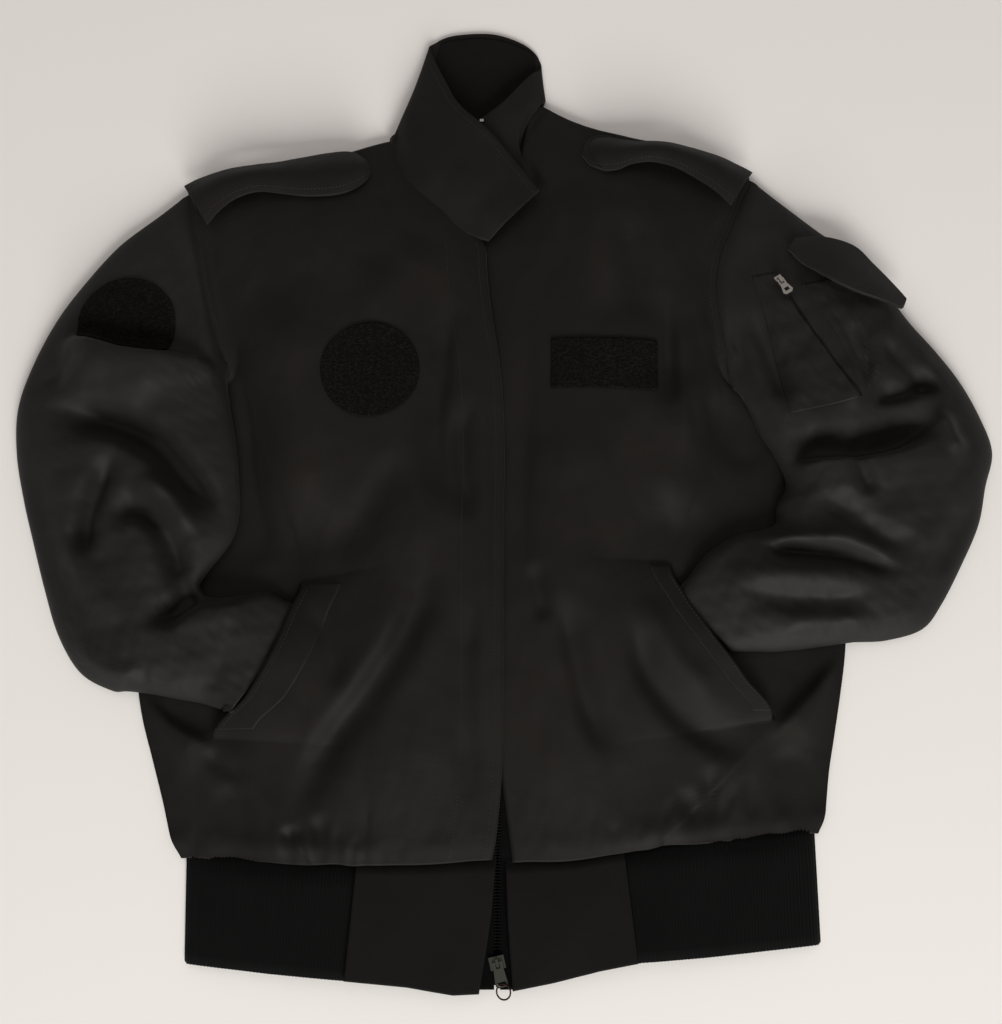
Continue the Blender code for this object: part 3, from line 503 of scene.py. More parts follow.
@dataclass(frozen=True)
class PileFinish(Finish):
    """Brushed loop pile: a mat of tiny nylon loops, the deepest black on the jacket.

    Args:
        loop: Distance between loops, in mm. The real ones are about half of this, too fine to show.
    """

    loop: float = 1.3

    def material(self) -> bpy.types.Material:
        """The pile, on Object coordinates, because its loops have no thread direction."""
        material, tree, shader = self.start()
        place = add_node(tree, "ShaderNodeTexCoord").outputs["Object"]
        loops = add_node(
            tree, "ShaderNodeTexVoronoi", {"Vector": place, "Scale": 1000 / self.loop, "Randomness": 0.9}
        )
        tufts = add_node(tree, "ShaderNodeTexNoise", {"Vector": place, "Scale": 420.0, "Detail": 5.0})
        ramp = add_node(tree, "ShaderNodeValToRGB", {"Fac": tufts.outputs["Fac"]})
        ramp.color_ramp.elements[0].position = 0.42
        ramp.color_ramp.elements[0].color = linear("#0a0908")
        ramp.color_ramp.elements[1].position = 0.72
        ramp.color_ramp.elements[1].color = linear(self.colour)
        tree.links.new(ramp.outputs[0], shader.inputs["Base Color"])
        bump = add_node(
            tree,
            "ShaderNodeBump",
            {"Height": loops.outputs["Distance"], "Strength": 0.9, "Distance": 0.7 * MM},
        )
        fuzz = add_node(
            tree,
            "ShaderNodeBump",
            {"Height": tufts.outputs["Fac"], "Strength": 0.8, "Distance": 1.2 * MM,
             "Normal": bump.outputs[0]},
        )
        tree.links.new(fuzz.outputs[0], shader.inputs["Normal"])
        shader.inputs["Specular IOR Level"].default_value = 0.08
        return material


@dataclass(frozen=True)
class MetalFinish(Finish):
    """Cast or drawn metal: fine scratches and a little tarnish in its roughness.

    Args:
        metallic: 1 for bare or plated metal, less under paint.
    """

    metallic: float = 1.0

    def material(self) -> bpy.types.Material:
        """The metal, on Object coordinates."""
        material, tree, shader = self.start()
        place = add_node(tree, "ShaderNodeTexCoord").outputs["Object"]
        scuffs = add_node(
            tree, "ShaderNodeTexNoise", {"Vector": place, "Scale": 900.0, "Detail": 6.0, "Roughness": 0.7}
        )
        dull = add_node(
            tree,
            "ShaderNodeMapRange",
            {"Value": scuffs.outputs["Fac"], "From Min": 0.3, "From Max": 0.7,
             "To Min": self.roughness - 0.08, "To Max": self.roughness + 0.12},
        )
        tree.links.new(dull.outputs[0], shader.inputs["Roughness"])
        bump = add_node(
            tree, "ShaderNodeBump", {"Height": scuffs.outputs["Fac"], "Strength": 0.2, "Distance": 0.05 * MM}
        )
        tree.links.new(bump.outputs[0], shader.inputs["Normal"])
        shader.inputs["Metallic"].default_value = self.metallic
        return material


class Wardrobe:
    """Every finish on the jacket, each made into a material once."""

    def __init__(self) -> None:
        # Polyester and cotton twill, piece dyed: near black, a little browner where it is worn.
        self.shell = WovenFinish("shell_twill", "twill_cloth", "#0b0908", 0.68)
        # The same twill, set a little paler and greyer on the sleeves: painted light, standing in for the
        # brighter light and sheen that the sleeves catch over the body.
        self.sleeve = WovenFinish("sleeve_twill", "twill_cloth", "#0d0c0b", 0.66, "#1d1b19", shine=0.2)
        # The same twill on the waist tabs, doubled over stiffening: set darker in colour and duller than the
        # shell.
        self.pressed = WovenFinish("pressed_twill", "twill_cloth", "#090808", 0.8, "#141211", shine=0.1)
        # Plain-woven lining: smoother and darker than the shell.
        self.lining = WovenFinish(
            "collar_lining_weave", "lining_cloth", "#110f0e", 0.9, "#171514", 1.2, 0.08, 0.0, 0.08
        )
        self.knit = KnitFinish("waistband_rib_knit", "rib_knit", "#0f0f0f", 0.97)
        self.pile = PileFinish("loop_fastener_pile", "loop_pile", "#191614", 0.97)
        # Woven polyester tape, heat-set flat.
        self.tape = WovenFinish(
            "zip_tape_weave", "zip_tape_cloth", "#040404", 0.9, "#070707", 1.0, 0.1, 0.0, 0.06
        )
        # Filament coil under its stitching: dull black.
        self.coil = KnitFinish("acetal_zip_coil", "zip_tape_cloth", "#090909", 0.8)
        # Spun polyester thread, black on black.
        self.thread = Finish("polyester_thread", "twill_cloth", "#171616", 0.5)
        # Die-cast zinc under dark enamel.
        self.enamel = MetalFinish("enamelled_zinc", "painted_zinc", "#34362f", 0.42, 0.35)
        # Die-cast zinc, nickel plated and tumbled.
        self.nickel = MetalFinish("nickel_plated_zinc", "bright_nickel", "#a19d97", 0.34)
        # Drawn brass wire with a dark bronze finish.
        self.bronze = MetalFinish("bronzed_wire", "bronze_wire", "#4a342a", 0.38)
        self.made: dict[str, bpy.types.Material] = {}

    def material(self, finish: Finish) -> bpy.types.Material:
        """The finish's material, made the first time it is asked for."""
        if finish.name not in self.made:
            self.made[finish.name] = finish.material()
        return self.made[finish.name]


# ---------------------------------------------------------------- cloth


@dataclass
class Lip:
    """The lower edge of a cut in a sheet: its upper edge stays with the grid's column.

    Args:
        column: The grid column that the cut runs along.
        points: The lower edge's point at each row of the cut.
    """

    column: int
    points: dict[int, tuple[float, float, float]]


@dataclass
class Sheet:
    """A cloth piece's face as a grid of plan points, with its threads' coordinates.

    Args:
        grid: Rows by columns by x, y, z, in mm.
        closed: Whether the last column joins the first, as round a tube.
        lip: A cut along one column, such as a pocket mouth.
    """

    grid: np.ndarray
    closed: bool = False
    lip: Lip | None = None

    def thread_grid(self) -> np.ndarray:
        """Distance across and along the cloth at each grid point, in mm."""
        rows, columns = self.grid.shape[:2]
        wrapped = np.concatenate([self.grid, self.grid[:, :1]], axis=1)
        across = np.linalg.norm(np.diff(wrapped, axis=1), axis=2)
        up = np.linalg.norm(np.diff(self.grid, axis=0), axis=2).mean(axis=1)
        u = np.concatenate([np.zeros((rows, 1)), np.cumsum(across, axis=1)], axis=1)
        u -= u[:, columns // 2 : columns // 2 + 1]
        v = np.append(0.0, np.cumsum(up))
        return np.stack([u, np.broadcast_to(v[:, None], u.shape)], axis=2)

    def build(self, name: str) -> bpy.types.Object:
        """The face as an object with a thread UV map, its highest part facing up.

        Args:
            name: The object's name.

        Returns:
            The new object, one layer thick.
        """
        rows, columns = self.grid.shape[:2]
        points = list(map(tuple, to_world(self.grid).reshape(-1, 3)))
        index = np.arange(rows * columns).reshape(rows, columns)
        index = np.concatenate([index, index[:, :1]], axis=1)
        span = columns if self.closed else columns - 1
        r, c = np.meshgrid(np.arange(rows - 1), np.arange(span), indexing="ij")
        corners = [(r, c), (r, c + 1), (r + 1, c + 1), (r + 1, c)]
        faces = np.stack([index[a, b] for a, b in corners], axis=-1)
        if self.lip:
            for row, place in self.lip.points.items():
                points.append(tuple(to_world(place)))
                column = self.lip.column
                if row < rows - 1:
                    faces[row, column, 0] = len(points) - 1
                if row > 0:
                    faces[row - 1, column, 3] = len(points) - 1
        threads = self.thread_grid()
        uv = np.stack([threads[a, b] for a, b in corners], axis=-2).reshape(-1, 4, 2)
        faces = faces.reshape(-1, 4)
        place = np.array(points)
        middle = place[faces].mean(axis=1)
        normal = np.cross(place[faces[:, 2]] - place[faces[:, 0]], place[faces[:, 3]] - place[faces[:, 1]])
        top = middle[:, 2] > np.quantile(middle[:, 2], 0.8)
        if normal[top, 2].sum() < 0:
            faces, uv = faces[:, ::-1], uv[:, ::-1]
        data = bpy.data.meshes.new(name)
        data.from_pydata(points, [], faces.tolist())
        layer = data.uv_layers.new(name=THREADS)
        layer.data.foreach_set("uv", uv.reshape(-1).astype(np.float32))
        data.shade_smooth()
        return add_object(name, data)


@dataclass
class Cut:
    """The flat size that a piece is cut to.

    Args:
        width: Metres across; not used.
        length: Metres along; not used.
        area: Square metres, where the piece isn't a rectangle; not used.
        rests_on: What it lies on.
    """

    width: float
    length: float
    area: float | None = None
    held: str = "laid"
    rests_on: tuple[str, ...] = ("back_panel",)


class Tailor:
    """Turns sheets into finished pieces that ride on the jacket."""

    def __init__(self, wardrobe: Wardrobe) -> None:
        self.wardrobe = wardrobe

    def dress(self, piece: bpy.types.Object, finish: Finish, nodes: tuple[str, ...] = ()) -> bpy.types.Object:
        """Give a piece its finish, and let it stand for its CAD nodes.

        Args:
            piece: The finished object.
            finish: Its finish.
            nodes: The CAD nodes that it stands for.

        Returns:
            The same piece.
        """
        piece.data.materials.clear()
        piece.data.materials.append(self.wardrobe.material(finish))
        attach(piece, JACKET)
        if nodes:
            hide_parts(*nodes)
        LOG.info("%s made", piece.name)
        return piece

    def sew(
        self, node: str, sheet: Sheet, finish: Finish, wall: float, cut: Cut, upwards: bool = False
    ) -> bpy.types.Object:
        """Make a cloth piece from its sheet.

        Args:
            node: The CAD node that it stands for.
            sheet: Its outer face, or its lower face if upwards.
            finish: Its finish.
            wall: Its thickness, in mm.
            cut: Its flat size.
            upwards: Whether the thickness is above the sheet.

        Returns:
            The finished piece.
        """
        piece = sheet.build(f"{node}_cloth")
        thicken(piece, wall, upwards)
        return self.hand_over(piece, node, finish, cut)

    def hand_over(self, piece: bpy.types.Object, node: str, finish: Finish, cut: Cut) -> bpy.types.Object:
        """Give a cloth piece its finish.

        Args:
            piece: The finished object.
            node: The CAD node that it stands for.
            finish: Its finish.
            cut: Its flat size.

        Returns:
            The same piece.
        """
        self.dress(piece, finish, (node,))
        list(cut.rests_on)
        return piece


class Ground:
    """The upper faces of finished pieces, for the next ones to lie on."""

    CELL = 4.0
    HALF = 440.0
    GAP = 0.9

    def __init__(self, pieces: list[bpy.types.Object], below: float | None = None) -> None:
        """Read the pieces' faces.

        Args:
            pieces: The finished objects.
            below: Leave out faces whose middles are higher than this, in mm.
        """
        bpy.context.view_layer.update()
        graph = bpy.context.evaluated_depsgraph_get()
        points: list[Vector] = []
        faces: list[list[int]] = []
        for piece in pieces:
            mesh = piece.evaluated_get(graph).to_mesh()
            start = len(points)
            points += [piece.matrix_world @ vertex.co for vertex in mesh.vertices]
            for face in mesh.polygons:
                if below is None or face.center.z < below * MM:
                    faces.append([start + i for i in face.vertices])
        self.tree = BVHTree.FromPolygons(points, faces)
        self.field: np.ndarray | None = None
        self.soft_field: np.ndarray | None = None

    def at(self, x: np.ndarray, y: np.ndarray) -> np.ndarray:
        """The highest face's height over each plan place, or 0.

        Args:
            x: Plan places across.
            y: Plan places along.

        Returns:
            Heights in mm.
        """
        found = np.zeros(np.shape(x))
        places = to_world(np.stack([x, y, np.full(np.shape(x), 400.0)], axis=-1))
        down = Vector((0, 0, -1))
        for at in np.ndindex(*np.shape(x)):
            hit = self.tree.ray_cast(Vector(places[at]), down)[0]
            found[at] = hit.z / MM if hit else 0.0
        return found

    def survey(self, reach: float) -> None:
        """Work out seats all over the plan: the highest face within reach, and a softened copy.

        Args:
            reach: How far round a place to look, in mm.
        """
        side = np.arange(-self.HALF, self.HALF + 1, self.CELL)
        x, y = np.meshgrid(side, side, indexing="ij")
        raw = self.at(x, y)
        steps = int(round(reach / self.CELL))
        high = raw.copy()
        for i in range(-steps, steps + 1):
            for j in range(-steps, steps + 1):
                if i * i + j * j <= steps * steps:
                    high = np.maximum(high, np.roll(np.roll(raw, i, axis=0), j, axis=1))
        self.field = np.where(high > 0, high + self.GAP, 0.0)
        soft = self.field.copy()
        for _ in range(14):
            beside = np.roll(soft, 1, 0), np.roll(soft, -1, 0), np.roll(soft, 1, 1), np.roll(soft, -1, 1)
            soft = sum(beside, soft) / 5
        self.soft_field = soft

    def read(self, field: np.ndarray, x: np.ndarray, y: np.ndarray) -> np.ndarray:
        """A surveyed field between its cells.

        Args:
            field: The seats or their softened copy.
            x: Plan places across.
            y: Plan places along.

        Returns:
            The field's values, in mm.
        """
        a = np.clip((x + self.HALF) / self.CELL, 0, field.shape[0] - 1.001)
        b = np.clip((y + self.HALF) / self.CELL, 0, field.shape[1] - 1.001)
        i, j = a.astype(int), b.astype(int)
        s, t = a - i, b - j
        low = field[i, j] * (1 - s) + field[i + 1, j] * s
        high = field[i, j + 1] * (1 - s) + field[i + 1, j + 1] * s
        return low * (1 - t) + high * t

    def seat(self, x: np.ndarray, y: np.ndarray) -> np.ndarray:
        """Where a piece lies on what is below it."""
        return self.read(self.field, x, y)

    def soft_seat(self, x: np.ndarray, y: np.ndarray) -> np.ndarray:
        """The seat, softened, for cloth well above it."""
        return self.read(self.soft_field, x, y)


# ---------------------------------------------------------------- fronts and back


class FrontRow(NamedTuple):
    """One level of a front: its centre edge, its padding's crest, the mouth line and its side."""

    edge_x: float
    edge_y: float
    edge_z: float
    crest_x: float
    crest_y: float
    crest_z: float
    mouth_x: float
    mouth_y: float
    mouth_z: float
    side_x: float
    side_y: float
    side_z: float


RIGHT_FRONT = (
    FrontRow(-7, -283, 13.8, -75, -287, 15.5, -150, -286, 14.5, -253, -281, 4.6),
    FrontRow(-4, -268, 17, -80, -270, 18.5, -165, -270, 18, -262, -266, 4.6),
    FrontRow(-1, -240, 21, -88, -238, 23.5, -192, -236, 16, -270, -238, 4.6),
    FrontRow(1, -210, 24.5, -98, -198, 28.5, -231, -189, 10, -280, -205, 4.6),
    FrontRow(2, -165, 29, -94, -155, 33.5, -204, -155, 7, -290, -172, 4.6),
    FrontRow(2, -125, 32, -86, -120, 37, -185, -122, 7, -296, -140, 4.6),
    FrontRow(2, -85, 34, -80, -85, 39, -172, -88, 8, -299, -105, 4.6),
    FrontRow(2, -50, 35, -78, -52, 40, -163, -62, 15, -300, -70, 4.6),
    FrontRow(2, -10, 35, -84, -14, 40, -172, -20, 12, -300, -35, 4.6),
    FrontRow(3, 35, 34, -92, 30, 39, -190, 25, 8.5, -297, 5, 4.6),
    FrontRow(2, 80, 33, -100, 76, 39, -204, 72, 8, -288, 52, 4.6),
    FrontRow(-1, 120, 31, -108, 115, 38, -216, 106, 8.5, -266, 86, 4.6),
    FrontRow(-6, 155, 29, -112, 148, 37, -214, 135, 15, -236, 113, 7),
    FrontRow(-10, 185, 27, -116, 180, 36, -216, 165, 22, -244, 148, 15),
    FrontRow(-12, 210, 25, -122, 208, 35, -222, 198, 24, -254, 182, 18),
    FrontRow(-14, 232, 21, -130, 235, 34, -228, 228, 23, -261, 215, 18),
    FrontRow(-28, 256, 18, -140, 258, 31, -235, 255, 20, -267, 245, 15),
    FrontRow(-56, 280, 16, -152, 280, 26, -242, 276, 15, -271, 266, 12),
    FrontRow(-77, 308, 12, -162, 300, 18, -248, 290, 11, -273, 278, 9),
    FrontRow(-91, 338, 6, -172, 314, 9, -250, 298, 8, -275, 286, 7),
)
LEFT_FRONT = (
    FrontRow(9, -285, 12.8, 60, -283, 15, 128, -272, 14.5, 252, -262, 4.6),
    FrontRow(7, -268, 15, 66, -268, 18, 140, -258, 18, 258, -248, 4.6),
    FrontRow(3, -238, 17.5, 74, -232, 23, 180, -220, 15, 263, -215, 4.6),
    FrontRow(-1, -205, 20.5, 82, -195, 28, 218, -174, 10, 268, -190, 4.6),
    FrontRow(-3, -165, 24, 80, -155, 33, 196, -140, 7, 275, -155, 4.6),
    FrontRow(-4, -125, 26.5, 72, -118, 36.5, 172, -108, 7, 281, -120, 4.6),
    FrontRow(-4, -85, 28, 66, -80, 39, 152, -78, 8, 284, -85, 4.6),
    FrontRow(-4, -48, 28, 62, -46, 39, 138, -46, 16, 286, -50, 4.6),
    FrontRow(-4, -8, 28, 68, -8, 39, 154, -8, 11, 287, -12, 4.6),
    FrontRow(-4, 35, 27, 76, 34, 38, 174, 30, 8.5, 285, 25, 4.6),
    FrontRow(-4, 80, 26, 84, 76, 37, 188, 72, 8, 274, 66, 4.6),
    FrontRow(-8, 118, 24, 88, 112, 36, 188, 100, 11, 245, 86, 4.6),
    FrontRow(-12, 145, 21, 90, 138, 36, 180, 126, 15, 203, 100, 7),
    FrontRow(-17, 170, 19, 88, 164, 35, 172, 155, 21, 192, 138, 15),
    FrontRow(-20, 193, 17, 86, 188, 34, 168, 178, 24, 186, 168, 18),
    FrontRow(-22, 215, 15, 86, 212, 33, 168, 200, 24, 184, 195, 19),
    FrontRow(-20, 237, 13, 90, 236, 32, 172, 222, 22, 189, 224, 18),
    FrontRow(-6, 262, 12, 98, 260, 30, 180, 243, 19, 198, 247, 15),
    FrontRow(10, 290, 11, 104, 280, 26, 190, 262, 16, 206, 266, 13),
    FrontRow(16, 316, 11, 104, 300, 22, 192, 282, 14, 212, 282, 11),
    FrontRow(22, 346, 9, 88, 324, 16, 184, 305, 12, 217, 292, 9),
    FrontRow(27, 377, 5, 74, 350, 9, 167, 326, 9, 219, 300, 7),
)

RIGHT_FRONT_FOLDS = [
    Fold(((-42, 190), (-49, 120), (-54, 50), (-40, -15)), 7, 9, 18),
    Fold(((-22, 92), (-34, 55), (-25, -20)), 5, 8, 9),
    Fold(((-70, 48), (-102, 6), (-142, -50)), 5, 20, 15),
    Fold(((-66, -22), (-67, -85), (-108, -153), (-148, -212), (-160, -272)), 9, 15, 9),
    Fold(((-88, -60), (-96, -120), (-140, -180)), -4, 14, 16),
    Fold(((-196, 196), (-178, 100), (-168, 20), (-164, -40)), -16, 32, 30),
    Fold(((-232, 130), (-222, 60), (-212, 0), (-194, -50)), 15, 13, 17),
    Fold(((-262, 262), (-248, 190), (-234, 125)), 5, 8, 7),
    Fold(((-222, -222), (-208, -252), (-194, -290)), 6, 9, 10),
    Fold(((-238, -198), (-222, -211), (-200, -220)), 3, 8, 7),
    Fold(((-168, -256), (-165, -288)), 5, 6, 6),
    Fold(((-142, -246), (-139, -290)), 5, 6, 8),
    Fold(((-20, -60), (-31, -150), (-22, -250)), 3.5, 10, 14),
    Fold(((-60, 238), (-100, 178), (-120, 150)), -3.5, 22, 18),
    Fold(((-96, 300), (-110, 240), (-104, 190)), 3, 16, 12),
    Fold(((-158, -78), (-138, -112), (-128, -158)), 3, 9, 9),
    Fold(((-300, -150), (-268, -178), (-226, -200)), -7, 6, 24),
    Fold(((-12, 200), (-16, 120), (-12, 20), (-14, -120), (-12, -240)), -1.6, 6, 9),
]
LEFT_FRONT_FOLDS = [
    Fold(((36, 372), (18, 342), (15, 318), (40, 286)), 10, 5, 9),
    Fold(((58, 348), (76, 300), (84, 232), (98, 168)), -5.5, 14, 17),
    Fold(((104, 262), (112, 215), (118, 150)), 4, 18, 10),
    Fold(((141, 192), (140, 128), (139, 62)), 5, 8, 10),
    Fold(((153, 168), (155, 100), (154, 30)), -5, 14, 8),
    Fold(((158, 104), (188, 70), (226, 42)), 6, 16, 18),
    Fold(((146, 122), (148, 45), (142, -20)), -11, 24, 26),
    Fold(((26, -48), (31, -75), (35, -100)), 4, 8, 8),
    Fold(((47, -70), (60, -130), (70, -170), (90, -212)), 7, 13, 9),
    Fold(((105, -86), (113, -130), (134, -163), (163, -186), (206, -206)), 9, 16, 9),
    Fold(((112, -70), (136, -120), (176, -160)), -3.5, 10, 12),
    Fold(((146, -226), (152, -248), (156, -272)), 6, 6, 7),
    Fold(((165, -208), (166, -240), (164, -272)), 7, 6, 7),
    Fold(((16, 185), (22, 90), (17, 0), (21, -100)), 3, 9, 13),
    Fold(((60, 40), (70, -10), (62, -60)), 2.5, 20, 20),
    Fold(((222, -195), (236, -225), (240, -262)), 4, 9, 9),
    Fold(((214, -192), (252, -154), (292, -112)), -8, 6, 24),
]


@dataclass
class Front:
    """One front, with the pocket mouth cut in it and its upper lip standing over the cuff."""

    side: Side
    rows: tuple[FrontRow, ...]
    folds: list[Fold]
    cut: Cut
    mouth_rows: tuple[int, int] = (3, 7)
    mouth_height: float = 20.0
    wall: float = 2.0
    edge_roll: float = 3.2
    fold_depth: float = 1.15
    blouse: float = 2.2
    droop: float = 1.6
    lowest: float = 4.2
    levels: int = 230
    inner_steps: int = 78
    outer_steps: int = 34
    rumple: Rumple = field(default_factory=lambda: Rumple(1.4, 150.0, 5))
    creases: Rumple = field(default_factory=lambda: Rumple(0.4, 42.0, 12, 2.2))

    def seam(self) -> np.ndarray:
        """The waist seam's plan points, in order across."""
        points = np.reshape(self.rows[0], (4, 3))[:, :2]
        return points[np.argsort(points[:, 0])]

    def shoulder(self) -> np.ndarray:
        """The shoulder seam's plan points, from the armhole inwards."""
        top = self.rows[-1]
        return np.array([(top.side_x, top.side_y), (top.mouth_x, top.mouth_y), (top.crest_x, top.crest_y)])

    def side_edge(self) -> np.ndarray:
        """The side and armhole at each row, as x, y, z."""
        return np.array([(row.side_x, row.side_y, row.side_z) for row in self.rows], float)

    def side_line(self, count: int) -> np.ndarray:
        """The side and armhole, from waist to shoulder, as x, y, z."""
        return eased(self.side_edge(), np.linspace(0, len(self.rows) - 1, count))

    def plain_sheet(self) -> Sheet:
        """The front's padded form with its pocket mouth open, before any crease."""
        low, high = self.mouth_rows
        stations = np.unique(np.append(np.linspace(0, len(self.rows) - 1, self.levels), (low, high)))
        table = eased(self.rows, stations)
        opening = (stations - low) / (high - low)
        open_rows = (opening > 0.001) & (opening < 0.999)
        lift = np.zeros(len(stations))
        lift[open_rows] = self.mouth_height * np.sin(math.pi * opening[open_rows]) ** 0.85
        # Columns stand closer together at the front's edge and at the mouth, where the cloth turns.
        inner = np.concatenate([[0, 0.004, 0.01, 0.02], np.linspace(0.035, 1.96, self.inner_steps - 6),
                                [1.975, 1.988, 2.0]])
        outer = np.linspace(0, 1, self.outer_steps + 1)[1:] ** 0.9
        grid, lower = [], {}
        for index, row in enumerate(table):
            guides = row[:9].reshape(3, 3).copy()
            guides[2, 2] += lift[index]
            line = eased(guides, inner)
            mouth, side = row[6:9], row[9:12]
            if open_rows[index]:
                lower[index] = tuple(mouth)
            flank = mouth[:2] + (side[:2] - mouth[:2]) * outer[:, None]
            fall = side[2] + (mouth[2] - side[2]) * (1 - outer) ** 3
            grid.append(np.vstack([line, np.column_stack([flank, fall])]))
        grid = np.array(grid)
        mouth_column = len(inner) - 1
        # Above and below the pocket the ridge along the mouth's line is smoothed away.
        reach = slice(mouth_column - 20, mouth_column + 15)
        part = grid[:, reach, 2].copy()
        for _ in range(60):
            part[:, 1:-1] = (part[:, :-2] + 2 * part[:, 1:-1] + part[:, 2:]) / 4
        away = smooth(np.maximum(low - stations, stations - high) / 0.9)[:, None]
        grid[:, reach, 2] = grid[:, reach, 2] * (1 - away) + part * away
        return Sheet(grid, lip=Lip(mouth_column, lower))

    def sheet(self) -> Sheet:
        """The front's outer face, with its creases, the blousing at the waist and its rolled edge."""
        plain = self.plain_sheet()
        sheet = plain.grid
        x, y = sheet[..., 0], sheet[..., 1]
        inside = np.arange(sheet.shape[1]) <= plain.lip.column
        low_room = 0.8 * np.clip(sheet[..., 2] - 4.4, 0.05, None)
        edge_room = smooth(np.hypot(x - x[:, -1:], y - y[:, -1:]) / 22)
        above = y - np.interp(x, self.seam()[:, 0], self.seam()[:, 1])
        puffs = 0.7 + 0.5 * np.sin(x / 6.9 + 1.6 * np.sin(x / 17.0)) * np.sin(x / 31.0)
        puffs = puffs * (0.35 + 0.65 * smooth((np.abs(x) - 70) / 50))
        rough = self.rumple.lift(x, y) + self.creases.lift(x, y)
        rough = (rough - self.fold_depth * drops(self.all_folds(), x, y)) * edge_room
        rough = np.where(rough < 0, low_room * np.tanh(rough / low_room), rough)
        rough = np.where(rough < 0, rough * (0.35 + 0.65 * smooth(above / 26)), rough)
        rough += self.blouse * puffs * np.exp(-(((above - 12) / 9.0) ** 2))
        y -= self.droop * puffs * np.exp(-np.clip(above, 0, None) / 6.0)
        edge = np.hypot(x - x[:, :1], y - y[:, :1])
        rough *= np.where(inside, smooth(0.25 + edge / 26), 1.0)
        sheet[..., 2] = np.maximum(sheet[..., 2] + rough, self.lowest)
        roll = self.edge_roll
        near = np.clip(roll - edge, 0, roll)
        sheet[..., 2] -= np.where(inside, roll - np.sqrt(roll**2 - near**2), 0.0) * 0.7
        return plain

    def all_folds(self) -> list[Fold]:
        """The front's own folds and the pleats where it is drawn in above the waistband."""
        seam = self.seam()
        outer = seam[np.abs(seam[:, 0]) > 40]
        return self.folds + gathers(outer, 17.0, 36.0, 2.0, 11 if self.side is Side.RIGHT else 23)

    def make(self, tailor: Tailor) -> bpy.types.Object:
        """The finished front."""
        node = f"front_{self.side.letter}"
        return tailor.sew(node, self.sheet(), tailor.wardrobe.shell, self.wall, self.cut)


def waist_seam(*fronts: Front) -> np.ndarray:
    """The waist seam's plan points below all the fronts, in order across."""
    seam = np.vstack([one.seam() for one in fronts])
    return seam[np.argsort(seam[:, 0])]


@dataclass
class Back:
    """The back, flat on the surface, with a few shallow creases pressed up into it."""

    right: Front
    left: Front
    collar_line: tuple[tuple[float, float], ...]
    wall: float = 2.0
    folds: list[Fold] = field(
        default_factory=lambda: [
            Fold(((-150, 250), (-120, 120), (-140, 0)), -1.6, 14, 10),
            Fold(((120, 260), (96, 140), (110, 20)), -1.4, 12, 14),
            Fold(((-40, -40), (-60, -150), (-40, -260)), -1.5, 12, 12),
            Fold(((70, -80), (88, -180), (84, -262)), -1.7, 10, 12),
            Fold(((-220, -60), (-180, -140), (-190, -230)), -1.2, 12, 12),
        ]
    )

    def sheet(self) -> Sheet:
        """The back's lower face, its sides on the fronts' sides."""
        v = np.linspace(0, 1, 150)
        right, left = self.right.side_line(150), self.left.side_line(150)
        u = np.linspace(0, 1, 140)[None, :]
        x = right[:, :1] * (1 - u) + left[:, :1] * u
        y = right[:, 1:2] * (1 - u) + left[:, 1:2] * u
        shoulder = np.vstack(
            [self.right.shoulder(), self.collar_line, self.left.shoulder()[::-1]]
        )
        seam = waist_seam(self.right, self.left)
        top = np.interp(x[-1], shoulder[:, 0], shoulder[:, 1]) - y[-1]
        base = np.interp(x[0], seam[:, 0], seam[:, 1]) - y[0]
        y = y + top * smooth(v[:, None] * 1.6 - 0.6) + base * smooth(1 - v[:, None] * 5)
        z = np.clip(-drops(self.folds, x, y), 0, None)
        return Sheet(np.stack([x, y, z], axis=2))

    def make(self, tailor: Tailor) -> bpy.types.Object:
        """The finished back."""
        cut = Cut(0.60, 0.64, 0.345, rests_on=("floor",))
        return tailor.sew("back_panel", self.sheet(), tailor.wardrobe.shell, self.wall, cut, upwards=True)


class EdgePoint(NamedTuple):
    """A point on a flat piece's outline."""

    x: float
    y: float


@dataclass
class PocketBag:
    """The inner layer of a hand pocket, flat under the cuff."""

    side: Side
    outline: tuple[EdgePoint, ...]
    height: float = 2.5
    wall: float = 1.1

    def make(self, tailor: Tailor) -> bpy.types.Object:
        """The finished bag."""
        shape = bmesh.new()
        ring = [shape.verts.new(to_world((p.x, p.y, self.height))) for p in self.outline]
        shape.faces.new(ring)
        bmesh.ops.triangulate(shape, faces=shape.faces)
        bmesh.ops.subdivide_edges(shape, edges=shape.edges, cuts=7, use_grid_fill=True)
        bmesh.ops.triangulate(shape, faces=shape.faces)
        waves = Rumple(0.25, 60.0, 31)
        for vertex in shape.verts:
            vertex.co.z += abs(float(waves.lift(vertex.co.x / MM, vertex.co.y / MM))) * MM
        if sum(face.normal.z for face in shape.faces) < 0:
            bmesh.ops.reverse_faces(shape, faces=shape.faces)
        threads = shape.loops.layers.uv.new(THREADS)
        for face in shape.faces:
            for corner in face.loops:
                corner[threads].uv = (corner.vert.co.x / MM, corner.vert.co.y / MM)
        node = f"pocket_bag_{self.side.letter}"
        data = mesh_from(shape, f"{node}_cloth")
        data.shade_smooth()
        piece = add_object(f"{node}_cloth", data)
        thicken(piece, self.wall, upwards=True)
        cut = Cut(0.15, 0.185, 0.0175, rests_on=("back_panel_cloth",))
        return tailor.hand_over(piece, node, tailor.wardrobe.lining, cut)


RIGHT_BAG = tuple(
    EdgePoint(*p)
    for p in [(-174, -64), (-112, -84), (-92, -140), (-100, -210), (-150, -232), (-206, -222),
              (-236, -192), (-210, -155), (-191, -121), (-178, -88)]
)
LEFT_BAG = tuple(
    EdgePoint(*p)
    for p in [(148, -46), (92, -64), (72, -120), (80, -196), (130, -220), (190, -208),
              (222, -176), (202, -141), (179, -108), (159, -78)]
)


RIGHT_WELT = 32.0
LEFT_WELT = 15.0


